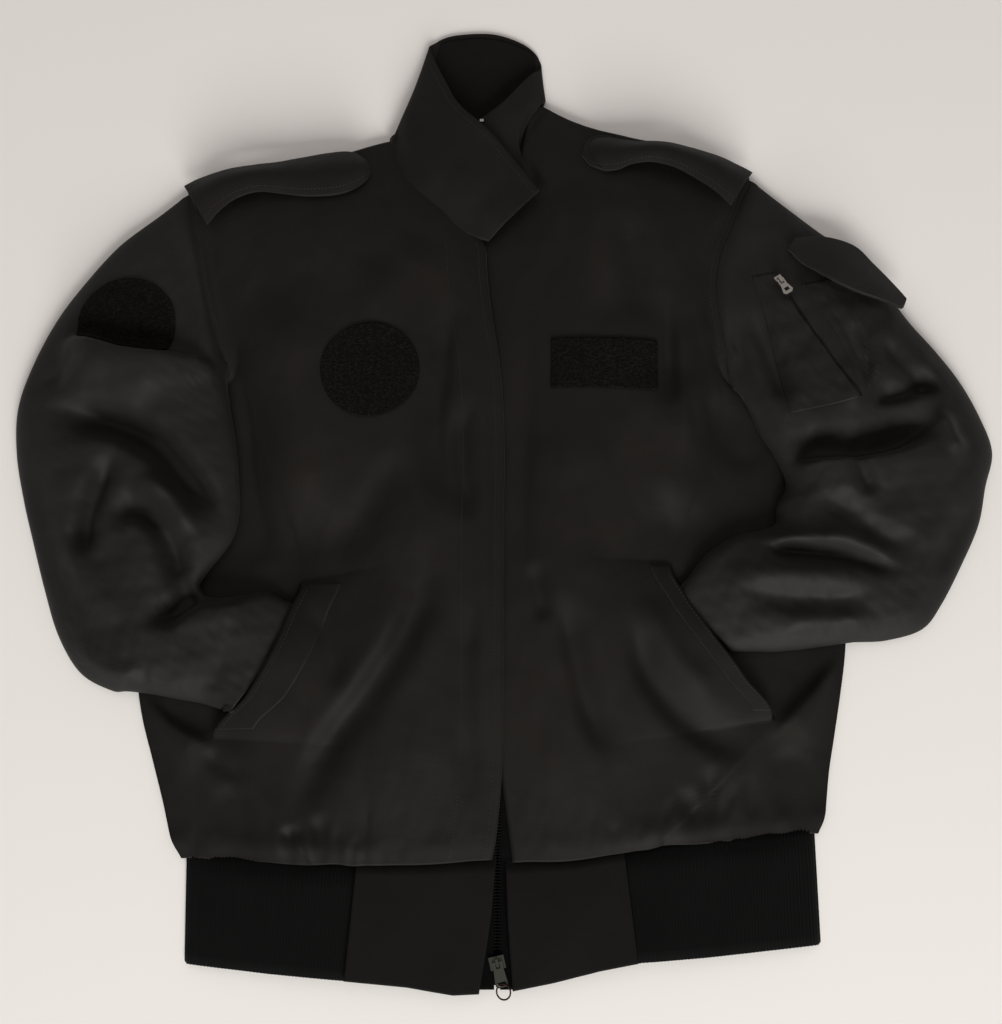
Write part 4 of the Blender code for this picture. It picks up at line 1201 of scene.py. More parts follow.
@dataclass
class Welt:
    """The stitched strip along a pocket mouth's upper lip."""

    front: Front
    width: float
    cut_width: float
    wall: float = 1.0
    inset: float = 1.2

    def sheet(self, ground: Ground) -> Sheet:
        """The strip, laid on the front.

        Args:
            ground: The front's upper face.

        Returns:
            The strip's lower face.
        """
        low, high = self.front.mouth_rows
        table = eased(self.front.rows, np.linspace(low + 0.18, high - 0.12, 110))
        t = np.linspace(0, 1, 16)
        sign = self.front.side.outwards
        x = table[:, 6:7] - sign * (self.inset + self.width * t[None, :])
        y = np.repeat(table[:, 7:8], len(t), axis=1)
        return Sheet(np.stack([x, y, ground.at(x, y) + 0.05], axis=2))

    def make(self, tailor: Tailor, ground: Ground) -> bpy.types.Object:
        """The finished welt."""
        node = f"pocket_welt_{self.front.side.letter}"
        cut = Cut(self.cut_width / 1000, 0.16, rests_on=(f"front_{self.front.side.letter}_cloth",))
        return tailor.sew(node, self.sheet(ground), tailor.wardrobe.shell, self.wall, cut, upwards=True)


# ---------------------------------------------------------------- sleeves


class SleeveRow(NamedTuple):
    """One ring of a sleeve: its outer and inner fold, and how high its crown stands."""

    outer_x: float
    outer_y: float
    inner_x: float
    inner_y: float
    height: float


RIGHT_SLEEVE = (
    SleeveRow(-304, 261, -231, 100, 22),
    SleeveRow(-333, 236, -227, 80, 25),
    SleeveRow(-360, 202, -223, 60, 27),
    SleeveRow(-382, 168, -220, 40, 28),
    SleeveRow(-400, 127, -218, 20, 28),
    SleeveRow(-410, 88, -217, 2, 28),
    SleeveRow(-408, 48, -218, -12, 28),
    SleeveRow(-399, 8, -222, -26, 28),
    SleeveRow(-389, -26, -229, -38, 27),
    SleeveRow(-376, -68, -236, -47, 27),
    SleeveRow(-362, -106, -243, -56, 26),
    SleeveRow(-342, -136, -247, -64, 26),
    SleeveRow(-316, -150, -243, -72, 25),
    SleeveRow(-302, -151, -238, -74, 25),
    SleeveRow(-279, -154, -226, -75, 24),
    SleeveRow(-258, -158, -210, -73, 23),
    SleeveRow(-241, -161, -192, -71, 21),
    SleeveRow(-228, -165, -172, -80, 18),
)
LEFT_SLEEVE = (
    SleeveRow(246, 277, 208, 88, 22),
    SleeveRow(276, 251, 213, 75, 25),
    SleeveRow(304, 230, 219, 62, 27),
    SleeveRow(328, 203, 226, 50, 28),
    SleeveRow(350, 168, 231, 40, 28),
    SleeveRow(372, 140, 235, 31, 28),
    SleeveRow(391, 112, 237, 24, 29),
    SleeveRow(406, 80, 237, 17, 29),
    SleeveRow(414, 50, 234, 10, 29),
    SleeveRow(406, 20, 230, 4, 29),
    SleeveRow(398, -12, 228, -2, 28),
    SleeveRow(382, -45, 228, -9, 28),
    SleeveRow(362, -80, 226, -14, 27),
    SleeveRow(345, -100, 220, -17, 27),
    SleeveRow(316, -109, 208, -20, 26),
    SleeveRow(290, -111, 199, -22, 26),
    SleeveRow(268, -114, 189, -26, 25),
    SleeveRow(246, -117, 179, -32, 23),
    SleeveRow(224, -119, 166, -42, 21),
    SleeveRow(204, -119, 152, -60, 18),
)

RIGHT_SLEEVE_FOLDS = [
    Fold(((-384, 140), (-356, 143), (-317, 131), (-271, 126), (-248, 120), (-228, 96)), -8, 4.5, 26),
    Fold(((-380, 118), (-322, 112), (-262, 100)), -5, 24, 24),
    Fold(((-378, 152), (-352, 153), (-315, 140), (-272, 134), (-244, 128)), 5, 18, 5),
    Fold(((-392, 78), (-360, 82), (-321, 73), (-288, 57), (-262, 28), (-240, 2), (-222, -20)), 15, 10, 17),
    Fold(((-352, 58), (-312, 48), (-280, 20), (-262, -14)), -4, 10, 12),
    Fold(((-318, 52), (-335, 10), (-341, -20), (-338, -55)), 9, 9, 9),
    Fold(((-326, -18), (-302, -3), (-282, -14), (-268, -42), (-264, -78)), 12, 12, 9),
    Fold(((-300, 22), (-270, 6), (-250, -28)), -4, 8, 10),
    Fold(((-292, -92), (-270, -91), (-246, -71), (-222, -54), (-212, -42)), 13, 11, 9),
    Fold(((-262, -104), (-236, -84), (-204, -84)), -4, 9, 20),
    Fold(((-352, -112), (-318, -136), (-282, -142)), -3, 10, 12),
    Fold(((-396, 40), (-378, -26), (-356, -84)), 3.5, 16, 16),
    Fold(((-404, 96), (-388, 108), (-362, 112)), 3, 9, 9),
    Fold(((-352, -20), (-330, -70), (-305, -100)), -4, 13, 13),
    Fold(((-290, 262), (-268, 200), (-252, 140)), 4, 8, 8),
]
LEFT_SLEEVE_FOLDS = [
    Fold(((226, 36), (262, 45), (300, 47), (338, 57), (368, 82)), 15, 22, 5),
    Fold(((232, 26), (262, 34), (300, 36), (342, 46), (380, 66)), -6, 5, 26),
    Fold(((364, 84), (372, 64), (381, 40)), -5, 8, 8),
    Fold(((290, 46), (296, 28), (306, 6)), 6, 7, 7),
    Fold(((256, 16), (276, 0), (311, -24), (352, -40)), 5, 9, 13),
    Fold(((200, -24), (243, -27), (283, -31), (328, -46)), -5, 8, 6),
    Fold(((203, -36), (243, -38), (282, -43), (332, -56)), 7, 5, 7),
    Fold(((176, -60), (236, -58), (308, -66)), -3.5, 8, 10),
    Fold(((190, -70), (234, -78), (306, -78)), 4, 8, 12),
    Fold(((214, -98), (260, -96), (310, -94)), -3, 8, 9),
    Fold(((199, 184), (200, 111), (217, 66), (236, 30)), 9, 10, 9),
    Fold(((210, 250), (194, 208), (190, 172), (200, 128)), -3, 8, 8),
    Fold(((316, 152), (344, 118), (374, 92)), 5, 9, 9),
    Fold(((308, 90), (338, 96), (374, 108)), 9, 10, 5),
    Fold(((388, 6), (374, -26), (352, -60)), 4, 10, 12),
    Fold(((210, 176), (228, 131), (243, 76)), 6, 8, 9),
    Fold(((303, 160), (307, 128), (306, 100)), 4, 5, 7),
    Fold(((282, 128), (296, 104), (288, 80)), -3, 8, 8),
]


@dataclass
class Sleeve:
    """A padded sleeve: a flattened tube from the armhole round the elbow to the pocket mouth."""

    side: Side
    rows: tuple[SleeveRow, ...]
    front: Front
    folds: list[Fold]
    cut: Cut
    wall: float = 2.0
    edge_height: float = 5.0
    first_armhole_row: int = 12
    under_front: float = 2.0
    reach_in: float = 0.9
    fold_depth: float = 1.5
    rings: int = 200
    crown_steps: int = 76
    under_steps: int = 26
    rumple: Rumple = field(default_factory=lambda: Rumple(1.6, 120.0, 8, 1.0))
    creases: Rumple = field(default_factory=lambda: Rumple(0.8, 36.0, 19, 0.8))

    def armhole(self, t: np.ndarray) -> np.ndarray:
        """The armhole seam from the shoulder to under the arm, as x, y, z."""
        last = len(self.front.rows) - 1
        points = eased(self.front.side_edge(), last + (self.first_armhole_row - last) * t)
        points[:, 0] -= self.front.side.outwards * self.under_front
        points[:, 2] -= 2.4
        return points

    def sheet(self, ground: Ground) -> Sheet:
        """The sleeve's outer face all round.

        Args:
            ground: The surveyed cloth below it.

        Returns:
            A closed tube.
        """
        count = len(self.rows)
        station = np.linspace(-1, count - 1 + self.reach_in, self.rings)
        table = eased(self.rows, np.clip(station, 0, count - 1))
        onward = np.array(self.rows[-1], float) - np.array(self.rows[-2], float)
        table += np.clip(station - (count - 1), 0, None)[:, None] * onward
        before = eased(self.rows, [0.0])[0] - (eased(self.rows, [0.3])[0] - eased(self.rows, [0.0])[0]) * 3
        early = np.clip(-station, 0, 1)[:, None]
        table = table * (1 - early) + before * early
        crown = (1 - np.cos(math.pi * np.linspace(0, 1, self.crown_steps))) / 2
        under = np.linspace(0.985, 0.015, self.under_steps)
        t = np.concatenate([crown, under])
        top = np.arange(len(t)) < len(crown)
        x = table[:, 0:1] * (1 - t) + table[:, 2:3] * t
        y = table[:, 1:2] * (1 - t) + table[:, 3:4] * t
        seam = self.armhole(t)
        hold = 1 - smooth((station[:, None] + 1) / 1.9)
        x = x * (1 - hold) + seam[:, 0] * hold
        y = y * (1 - hold) + seam[:, 1] * hold
        rise = self.edge_height + (table[:, 4:5] - self.edge_height) * bulge(t)
        low = ground.seat(x, y)
        ends = smooth(np.minimum(t, 1 - t) / 0.16)
        rough = self.rumple.lift(x, y) + self.creases.lift(x, y) - self.fold_depth * drops(self.folds, x, y)
        crown_z = ground.soft_seat(x, y) + rise + rough * ends
        crown_z = np.maximum(crown_z, low + self.edge_height)
        start = seam[:, 2] + np.where(t > 0.88, 8.0 * (t - 0.88) / 0.12, 0.0)
        crown_z = crown_z * (1 - hold) + start * hold
        under_z = low * (1 - hold) + 12.0 * np.clip((t - 0.82) / 0.16, 0, 1) * hold
        z = np.where(top, crown_z, under_z)
        return Sheet(np.stack([x, y, z], axis=2), closed=True)

    def make(self, tailor: Tailor, ground: Ground) -> bpy.types.Object:
        """The finished sleeve."""
        node = f"sleeve_{self.side.letter}"
        return tailor.sew(node, self.sheet(ground), tailor.wardrobe.sleeve, self.wall, self.cut)


@dataclass
class Cuff:
    """A knit cuff on a sleeve's end, running on into the pocket."""

    sleeve: Sleeve
    length: float = 60.0
    inset: float = 14.0
    taper: float = 8.0
    height: float = 13.0
    wall: float = 2.0

    def sheet(self, ground: Ground) -> Sheet:
        """The cuff's outer face all round, with its ribs running along it.

        Args:
            ground: The surveyed pocket below it.

        Returns:
            A closed tube.
        """
        end = self.sleeve.rows[-1]
        outer, inner = np.array([end.outer_x, end.outer_y]), np.array([end.inner_x, end.inner_y])
        way = (inner - outer) / np.linalg.norm(inner - outer)
        inward = np.array([way[1], -way[0]]) * -self.sleeve.side.outwards
        t = np.concatenate([(1 - np.cos(math.pi * np.linspace(0, 1, 60))) / 2, np.linspace(0.985, 0.015, 24)])
        grid = []
        for s in np.linspace(0, 1, 26):
            shift = inward * (1.0 + self.length * s)
            a = outer + way * (self.inset + self.taper * s) + shift
            b = inner - way * (self.inset + self.taper * s) + shift
            place = a + (b - a) * t[:, None]
            low = ground.seat(place[:, 0], place[:, 1])
            full = bulge(t)
            ribs = 0.45 * np.sin(np.hypot(*(place - a).T) / 3.2 * math.tau)
            rise = ground.soft_seat(place[:, 0], place[:, 1]) + 5 + (self.height - 5) * full + ribs * full
            z = np.where(np.arange(len(t)) < 60, np.maximum(rise, low + 4.5), low)
            grid.append(np.column_stack([place, z]))
        return Sheet(np.array(grid), closed=True)

    def make(self, tailor: Tailor, ground: Ground) -> bpy.types.Object:
        """The finished cuff."""
        node = f"cuff_{self.sleeve.side.letter}"
        rests = (f"pocket_bag_{self.sleeve.side.letter}_cloth",)
        width = 0.145 if self.sleeve.side is Side.RIGHT else 0.105
        cut = Cut(width, 0.062, held="folded", rests_on=rests)
        return tailor.sew(node, self.sheet(ground), tailor.wardrobe.knit, self.wall, cut)


# ---------------------------------------------------------------- collar and waistband


class CollarRow(NamedTuple):
    """One rise of the collar: its neck seam and its top edge."""

    neck_x: float
    neck_y: float
    neck_z: float
    top_x: float
    top_y: float
    top_z: float


COLLAR_ROWS = (
    CollarRow(-8, 252, 15, -24, 349, 15),
    CollarRow(14, 276, 16, -13, 357, 16),
    CollarRow(23, 300, 16, -1, 366, 17),
    CollarRow(16, 322, 16, 9, 377, 16),
    CollarRow(21, 346, 14.5, 17, 387, 14),
    CollarRow(33, 368, 11, 28, 400, 11),
    CollarRow(40, 376, 5.5, 36, 407, 5.5),
    CollarRow(33, 366, 0, 34, 420, 0),
    CollarRow(10, 347, 0, 20, 434, 0),
    CollarRow(-20, 344, 0, -7, 444, 0),
    CollarRow(-55, 343, 0, -40, 443, 0),
    CollarRow(-84, 342, 0, -57, 437, 0),
    CollarRow(-90, 343, 6, -65, 429, 5.5),
    CollarRow(-98, 329, 14, -60, 414, 12),
    CollarRow(-89, 296, 23, -48, 385, 20),
    CollarRow(-68, 267, 26, -36, 362, 24),
    CollarRow(-46, 251, 27, -10, 336, 26),
    CollarRow(-22, 238, 27, 16, 302, 26),
    CollarRow(-11, 234, 27, 33, 280, 26),
)
COLLAR_BACK = (7, 11)
COLLAR_FOLDS = [
    Fold(((-84, 318), (-72, 345), (-62, 372)), 2.0, 7, 9),
    Fold(((-58, 270), (-44, 300), (-34, 322)), 1.6, 8, 8),
    Fold(((-30, 250), (-8, 280), (4, 300)), 1.4, 9, 9),
    Fold(((24, 300), (14, 330), (16, 366)), 1.6, 6, 6),
]


@dataclass
class Collar:
    """The turned-up collar, its right leaf lapped over the left one, and its lining."""

    rows: tuple[CollarRow, ...] = COLLAR_ROWS
    wall: float = 2.3
    sink: float = 10.0
    stations: int = 230
    rises: int = 30

    def sheet(self) -> Sheet:
        """The collar's outer face from one front end round the back to the other."""
        table = eased(self.rows, np.linspace(0, len(self.rows) - 1, self.stations))
        table[:, [2, 5]] = np.maximum(table[:, [2, 5]], 0.0)
        t = np.linspace(0, 1, self.rises)
        grid = between(table[:, :3], table[:, 3:], t)
        x, y, z = grid[..., 0], grid[..., 1], grid[..., 2]
        up = smooth((z - 8) / 10)
        z += up * (Rumple(0.5, 60.0, 14).lift(x, y) - drops(COLLAR_FOLDS, x, y))
        z += up * 1.8 * np.sin(math.pi * t) ** 0.8
        sewn = smooth((17.4 - np.linspace(0, len(self.rows) - 1, self.stations)) / 2.0)[:, None]
        z -= up * self.sink * (0.4 + 0.6 * sewn) * (1 - smooth(t / 0.34))
        return Sheet(np.stack([x, y, z], axis=2))

    def lining_sheet(self) -> Sheet:
        """The part of the lining that shows inside the back of the neck."""
        first, last = COLLAR_BACK
        table = eased(self.rows, np.linspace(first + 0.3, last - 0.3, 90))
        t = np.linspace(0.04, 0.95, 50)
        grid = between(table[:, :2], table[:, 3:5], t)
        ribs = Rumple(0.8, 40.0, 3).lift(grid[..., 0], grid[..., 1])
        return Sheet(np.dstack([grid, 3.5 + ribs * 0.5]))

    def make(self, tailor: Tailor) -> list[bpy.types.Object]:
        """The finished collar and lining."""
        cut = Cut(0.49, 0.115, 0.041, held="folded", rests_on=("front_r_cloth", "front_l_cloth"))
        collar = tailor.sew("collar", self.sheet(), tailor.wardrobe.shell, self.wall, cut)
        cut = Cut(0.13, 0.10, 0.0085, rests_on=("collar_cloth",))
        lining = tailor.sew("collar_lining", self.lining_sheet(), tailor.wardrobe.lining, 1.0, cut)
        return [collar, lining]


class RibRow(NamedTuple):
    """One place round the waistband: where its seam and its hem are, and how high it is."""

    seam_x: float
    hem_x: float
    z: float


WAIST_ROWS = (
    RibRow(-108, -115, 11.5),
    RibRow(-124, -131, 14),
    RibRow(-160, -164, 13.6),
    RibRow(-205, -205, 11),
    RibRow(-236, -234, 8.4),
    RibRow(-247, -245, 4.4),
    RibRow(-236, -234, 0),
    RibRow(-120, -120, 0),
    RibRow(0, 0, 0),
    RibRow(120, 120, 0),
    RibRow(236, 237, 0),
    RibRow(247, 248, 4.4),
    RibRow(236, 237, 8.4),
    RibRow(200, 201, 11),
    RibRow(150, 153, 14),
    RibRow(107, 116, 14),
    RibRow(91, 100, 11.5),
)
HEM = tuple(
    EdgePoint(*p)
    for p in [(-246, -362), (-181, -369), (-125, -374), (-73, -379), (-37, -385), (-14, -384),
              (9, -382), (40, -376), (77, -367), (109, -361), (160, -357), (248, -348)]
)


class TabRow(NamedTuple):
    """One level of a waist tab: its end at the zip and its end at the knit."""

    part: float
    inner_x: float
    outer_x: float


@dataclass
class Waistband:
    """Rib knit round the back and sides, with a woven tab at each end of it in front."""

    fronts: tuple[Front, Front]
    rib_wall: float = 2.4
    tab_wall: float = 2.6
    rib_pitch: float = 2.9
    rib_depth: float = 0.16
    back_lift: float = 5.0
    tab_heights: tuple[float, float] = (12.0, 15.0)
    tabs: dict[Side, tuple[TabRow, ...]] = field(
        default_factory=lambda: {
            Side.RIGHT: (TabRow(0.0, -3.5, -113), TabRow(0.5, -8.5, -117), TabRow(1.0, -17, -121)),
            Side.LEFT: (TabRow(0.0, 3.5, 96), TabRow(0.5, 5.5, 101), TabRow(1.0, 9, 106)),
        }
    )

    def seam_y(self, x: np.ndarray) -> np.ndarray:
        """Where the waist seam is, just below the fronts' lower edges."""
        seam = waist_seam(*self.fronts)
        return np.interp(x, seam[:, 0], seam[:, 1]) + 5.0

    def hem_y(self, x: np.ndarray) -> np.ndarray:
        """Where the hem is."""
        return np.interp(x, [p.x for p in HEM], [p.y for p in HEM])

    def rib_sheet(self) -> Sheet:
        """The knit's outer face, from one front end round the back to the other."""
        table = eased(WAIST_ROWS, np.linspace(0, len(WAIST_ROWS) - 1, 1500))
        z = np.maximum(table[:, 2], 0.0)
        lift = np.where(z < 4.4, self.back_lift, 0.0) * smooth((4.4 - z) / 4.4)
        seam = np.column_stack([table[:, 0], self.seam_y(table[:, 0]), z])
        hem = np.column_stack([table[:, 1], self.hem_y(table[:, 1]) + lift, np.maximum(z - 1.0, 0.0)])
        t = np.linspace(0, 1, 12)[None, :, None]
        grid = seam[:, None] * (1 - t) + hem[:, None] * t
        grid[..., 2] -= np.clip(grid[..., 2] - 4.4, 0.0, 7.0) * (1 - smooth(t[..., 0] / 0.2))
        raised = smooth((grid[..., 2] - 3) / 6)
        grid[..., 2] += raised * Rumple(0.7, 80.0, 21).lift(grid[..., 0], grid[..., 1])
        return Sheet(grid)

    def tab_sheet(self, side: Side) -> Sheet:
        """A tab's outer face.

        Args:
            side: Which tab.

        Returns:
            The tab from the waist seam to the hem.
        """
        table = eased(self.tabs[side], np.linspace(0, 2, 60))
        t = np.linspace(0, 1, 60)
        x = table[:, 1:2] + (table[:, 2:3] - table[:, 1:2]) * t
        y = self.seam_y(x) + (self.hem_y(x) - self.seam_y(x)) * table[:, 0:1]
        z = self.tab_heights[0] + (self.tab_heights[1] - self.tab_heights[0]) * t
        z = z + 0.8 * Rumple(1.0, 90.0, 17).lift(x, y) + 1.0 * np.sin(math.pi * table[:, 0:1]) ** 0.6
        z = z - 4.5 * (1 - smooth(table[:, 0:1] / 0.14))
        return Sheet(np.stack([x, y, z], axis=2))

    def make(self, tailor: Tailor) -> list[bpy.types.Object]:
        """The finished waistband."""
        cut = Cut(1.0, 0.088, 0.073, held="folded", rests_on=("floor",))
        sheet = self.rib_sheet()
        rib = sheet.build("waist_rib_cloth")
        wale = rib.data.attributes.new("wale", "FLOAT", "POINT")
        steps = np.linalg.norm(np.diff(sheet.grid[:, 6, :2], axis=0), axis=1)
        across = np.repeat(np.cumsum(np.append(0, steps)), sheet.grid.shape[1])
        wale.data.foreach_set("value", across.astype(np.float32))
        thicken(rib, self.rib_wall - self.rib_depth, upwards=False)
        bake(rib, rib_displacement(self.rib_pitch, self.rib_depth))
        pieces = [tailor.hand_over(rib, "waist_rib", tailor.wardrobe.knit, cut)]
        pressed = tailor.wardrobe.pressed
        for side in Side:
            cut = Cut(0.12, 0.1, 0.0095, rests_on=("back_panel_cloth",))
            node = f"waist_tab_{side.letter}"
            pieces.append(tailor.sew(node, self.tab_sheet(side), pressed, self.tab_wall, cut))
        return pieces


# ---------------------------------------------------------------- shoulder straps, patches, sleeve pocket


class StrapRow(NamedTuple):
    """One place along a shoulder strap: its front and back edges, and its arch between them."""

    front_x: float
    front_y: float
    front_z: float
    back_x: float
    back_y: float
    back_z: float
    arch: float


RIGHT_STRAP = (
    StrapRow(-253, 248, 24, -277, 289, 10, 8),
    StrapRow(-243, 260, 26, -263, 297, 10, 9),
    StrapRow(-229, 271, 27, -240, 305, 10, 10),
    StrapRow(-210, 277, 28, -218, 309, 10, 10),
    StrapRow(-190, 275, 29, -196, 312, 10, 10),
    StrapRow(-168, 272, 30, -175, 316, 10, 10),
    StrapRow(-147, 273, 29, -153, 320, 10, 10),
    StrapRow(-131, 278, 27, -134, 322, 10, 9),
    StrapRow(-120, 287, 24, -122, 316, 12, 7),
    StrapRow(-115, 297, 21, -116, 306, 14, 3),
)
LEFT_STRAP = (
    StrapRow(199, 266, 24, 220, 302, 10, 8),
    StrapRow(184, 280, 26, 208, 309, 10, 9),
    StrapRow(165, 293, 27, 188, 319, 10, 9),
    StrapRow(147, 302, 27, 166, 326, 10, 9),
    StrapRow(130, 306, 27, 146, 331, 10, 9),
    StrapRow(114, 304, 27, 126, 332, 10, 9),
    StrapRow(102, 299, 26, 108, 334, 10, 9),
    StrapRow(89, 298, 25, 91, 337, 10, 8),
    StrapRow(78, 302, 22, 80, 334, 12, 6),
    StrapRow(71, 313, 18, 72, 322, 14, 3),
)


@dataclass
class ShoulderStrap:
    """A shoulder strap, arched over the shoulder with its rounded end towards the neck."""

    side: Side
    rows: tuple[StrapRow, ...]
    wall: float = 2.4

    def sheet(self, ground: Ground) -> Sheet:
        """The strap's lower face.

        Args:
            ground: The shoulder below it.

        Returns:
            The strap along its length.
        """
        table = eased(self.rows, np.linspace(0, len(self.rows) - 1, 110))
        t = np.linspace(0, 1, 34)
        grid = between(table[:, :3], table[:, 3:6], t)
        x, y = grid[..., 0], grid[..., 1]
        arch = grid[..., 2] + table[:, 6:7] * np.sin(math.pi * t)
        arch += Rumple(0.5, 50.0, 9).lift(x, y)
        grid[..., 2] = np.maximum(arch, ground.at(x, y) + 0.8)
        return Sheet(grid)

    def make(self, tailor: Tailor, ground: Ground) -> bpy.types.Object:
        """The finished strap."""
        cut = Cut(0.052, 0.165, rests_on=(f"front_{self.side.letter}_cloth",))
        node = f"epaulette_{self.side.letter}"
        return tailor.sew(node, self.sheet(ground), tailor.wardrobe.shell, self.wall, cut, upwards=True)


PATCH_FOLD = tuple(
    EdgePoint(*p) for p in [(-362, 148), (-340, 141), (-317, 134), (-290, 130), (-271, 129)]
)


@dataclass
class RoundPatch:
    """A round loop-pile patch; a fold of the sleeve may hide its lower part."""

    node: str
    x: float
    y: float
    radius: float
    on: str
    hidden_below: tuple[EdgePoint, ...] = ()
    wall: float = 1.2

    def sheet(self, ground: Ground) -> Sheet:
        """The patch's lower face.

        Args:
            ground: The cloth it is sewn to.

        Returns:
            A round sheet, or the part of it that shows.
        """
        side = np.linspace(-1, 1, 64)
        u, v = np.meshgrid(side, side)
        x = self.x + self.radius * u * np.sqrt(1 - v * v / 2)
        y = self.y + self.radius * v * np.sqrt(1 - u * u / 2)
        if self.hidden_below:
            u = side * 0.993
            x = np.broadcast_to(self.x + self.radius * u, (64, 64)).copy()
            half = self.radius * np.sqrt(1 - u * u)
            edge = np.interp(x[0], [p.x for p in self.hidden_below], [p.y for p in self.hidden_below])
            low = np.minimum(np.maximum(self.y - half, edge), self.y + half - 0.4)
            t = np.linspace(0, 1, 64)[:, None]
            y = low * (1 - t) + (self.y + half) * t
        return Sheet(np.stack([x, y, ground.at(x, y) + 0.4], axis=2))

    def make(self, tailor: Tailor, ground: Ground) -> bpy.types.Object:
        """The finished patch."""
        size = 2 * self.radius / 1000
        area = 0.785 * size * size * (0.8 if self.hidden_below else 1.0)
        cut = Cut(size, size, area, rests_on=(self.on,))
        return tailor.sew(self.node, self.sheet(ground), tailor.wardrobe.pile, self.wall, cut, upwards=True)


@dataclass
class NamePatch:
    """The oblong loop-pile patch on the left chest."""

    x: float = 86.5
    y: float = 119.5
    width: float = 89.0
    height: float = 44.0
    turn: float = -1.0
    wall: float = 1.2

    def sheet(self, ground: Ground) -> Sheet:
        """The patch's lower face, laid on the front."""
        v, u = np.meshgrid(np.linspace(-0.5, 0.5, 36), np.linspace(-0.5, 0.5, 70), indexing="ij")
        angle = math.radians(self.turn)
        a, b = self.width * u, self.height * v
        x = self.x + a * math.cos(angle) - b * math.sin(angle)
        y = self.y + a * math.sin(angle) + b * math.cos(angle)
        return Sheet(np.stack([x, y, ground.at(x, y) + 0.4], axis=2))

    def make(self, tailor: Tailor, ground: Ground) -> bpy.types.Object:
        """The finished patch."""
        cut = Cut(self.width / 1000, self.height / 1000, rests_on=("front_l_cloth",))
        pile = tailor.wardrobe.pile
        return tailor.sew("name_patch", self.sheet(ground), pile, self.wall, cut, upwards=True)


class EdgeRow(NamedTuple):
    """One place along a sleeve-pocket piece: both edges, and how far they stand off the sleeve."""

    left_x: float
    left_y: float
    left_lift: float
    right_x: float
    right_y: float
    right_lift: float


@dataclass
class LaidPiece:
    """A small sewn-on piece of the pocket on the left sleeve."""

    node: str
    rows: tuple[EdgeRow, ...]
    cut: Cut
    wall: float
    folds: list[Fold] = field(default_factory=list)
    crown: float = 0.0
    outer_z: float = 0.0

    def sheet(self, ground: Ground) -> Sheet:
        """The piece's lower face, its outer edge held at outer_z where it hangs past the sleeve.

        Args:
            ground: What it lies on.

        Returns:
            The piece between its two edges.
        """
        levels = np.linspace(0, 1, 80)
        table = eased(self.rows, np.linspace(0, len(self.rows) - 1, len(levels)))
        t = np.linspace(0, 1, 44)
        grid = between(table[:, :3], table[:, 3:], t)
        x, y = grid[..., 0], grid[..., 1]
        lift = grid[..., 2] + self.crown * np.sin(math.pi * t) * np.sin(math.pi * levels)[:, None]
        lift = lift - drops(self.folds, x, y)
        z = ground.at(x, y) + np.maximum(lift, 0.1)
        if self.outer_z:
            span = z[:, :1] * (1 - t) + self.outer_z * t + (lift - grid[..., 2])
            z = np.maximum(span, ground.at(x, y) + 0.1)
        return Sheet(np.dstack([x, y, z]))

    def make(self, tailor: Tailor, ground: Ground) -> bpy.types.Object:
        """The finished piece."""
        sleeve = tailor.wardrobe.sleeve
        return tailor.sew(self.node, self.sheet(ground), sleeve, self.wall, self.cut, upwards=True)


SLEEVE_POCKET = LaidPiece(
    "sleeve_pocket",
    (
        EdgeRow(215, 203, 0.1, 236, 206, 0.1),
        EdgeRow(226, 158, 0.1, 262, 153, 0.1),
        EdgeRow(236, 110, 0.1, 284, 117, 0.1),
        EdgeRow(241, 78, 0.1, 299, 91, 0.1),
    ),
    Cut(0.06, 0.13, 0.0052, rests_on=("sleeve_l_cloth",)),
    0.25,
    crown=1.2,
)
PEN_POCKET = LaidPiece(
    "pen_pocket",
    (
        EdgeRow(256, 194, 0.1, 296, 200, 0.1),
        EdgeRow(276, 160, 0.1, 310, 162, 0.1),
        EdgeRow(294, 126, 0.1, 316, 132, 0.1),
        EdgeRow(307, 100, 0.1, 318, 110, 0.1),
    ),
    Cut(0.045, 0.11, 0.0031, rests_on=("sleeve_l_cloth",)),
    0.3,
    folds=[
        Fold(((290, 180), (300, 150), (308, 118)), -2.2, 4, 4),
        Fold(((278, 176), (292, 146), (304, 112)), 1.2, 3, 3),
    ],
    crown=1.5,
)
PEN_FLAP = LaidPiece(
    "pen_flap",
    (
        EdgeRow(246, 225, 4.0, 254, 236, 1.6),
        EdgeRow(255, 213, 7.0, 279, 237, 2.4),
        EdgeRow(267, 202, 10.0, 303, 229, 2.6),
        EdgeRow(284, 189, 11.0, 318, 213, 2.6),
        EdgeRow(308, 179, 10.5, 331, 198, 2.6),
        EdgeRow(340, 172, 9.0, 345, 181, 2.4),
    ),
    Cut(0.045, 0.12, 0.0037, rests_on=("sleeve_l_cloth",)),
    3.0,
    crown=3.0,
    outer_z=19.0,
)


# ---------------------------------------------------------------- repeated details


def new_tree(
    name: str, inputs: dict[str, float]
) -> tuple[bpy.types.NodeTree, bpy.types.Node, bpy.types.Node]:
    """A geometry node tree with named number inputs.

    Args:
        name: The tree's name.
        inputs: Each input's name and value.

    Returns:
        The tree, its input node and its output node.
    """
    tree = bpy.data.node_groups.new(name, "GeometryNodeTree")
    tree.interface.new_socket("Geometry", in_out="INPUT", socket_type="NodeSocketGeometry")
    for label, value in inputs.items():
        socket = tree.interface.new_socket(label, in_out="INPUT", socket_type="NodeSocketFloat")
        socket.default_value = value
    tree.interface.new_socket("Geometry", in_out="OUTPUT", socket_type="NodeSocketGeometry")
    return tree, add_node(tree, "NodeGroupInput"), add_node(tree, "NodeGroupOutput")


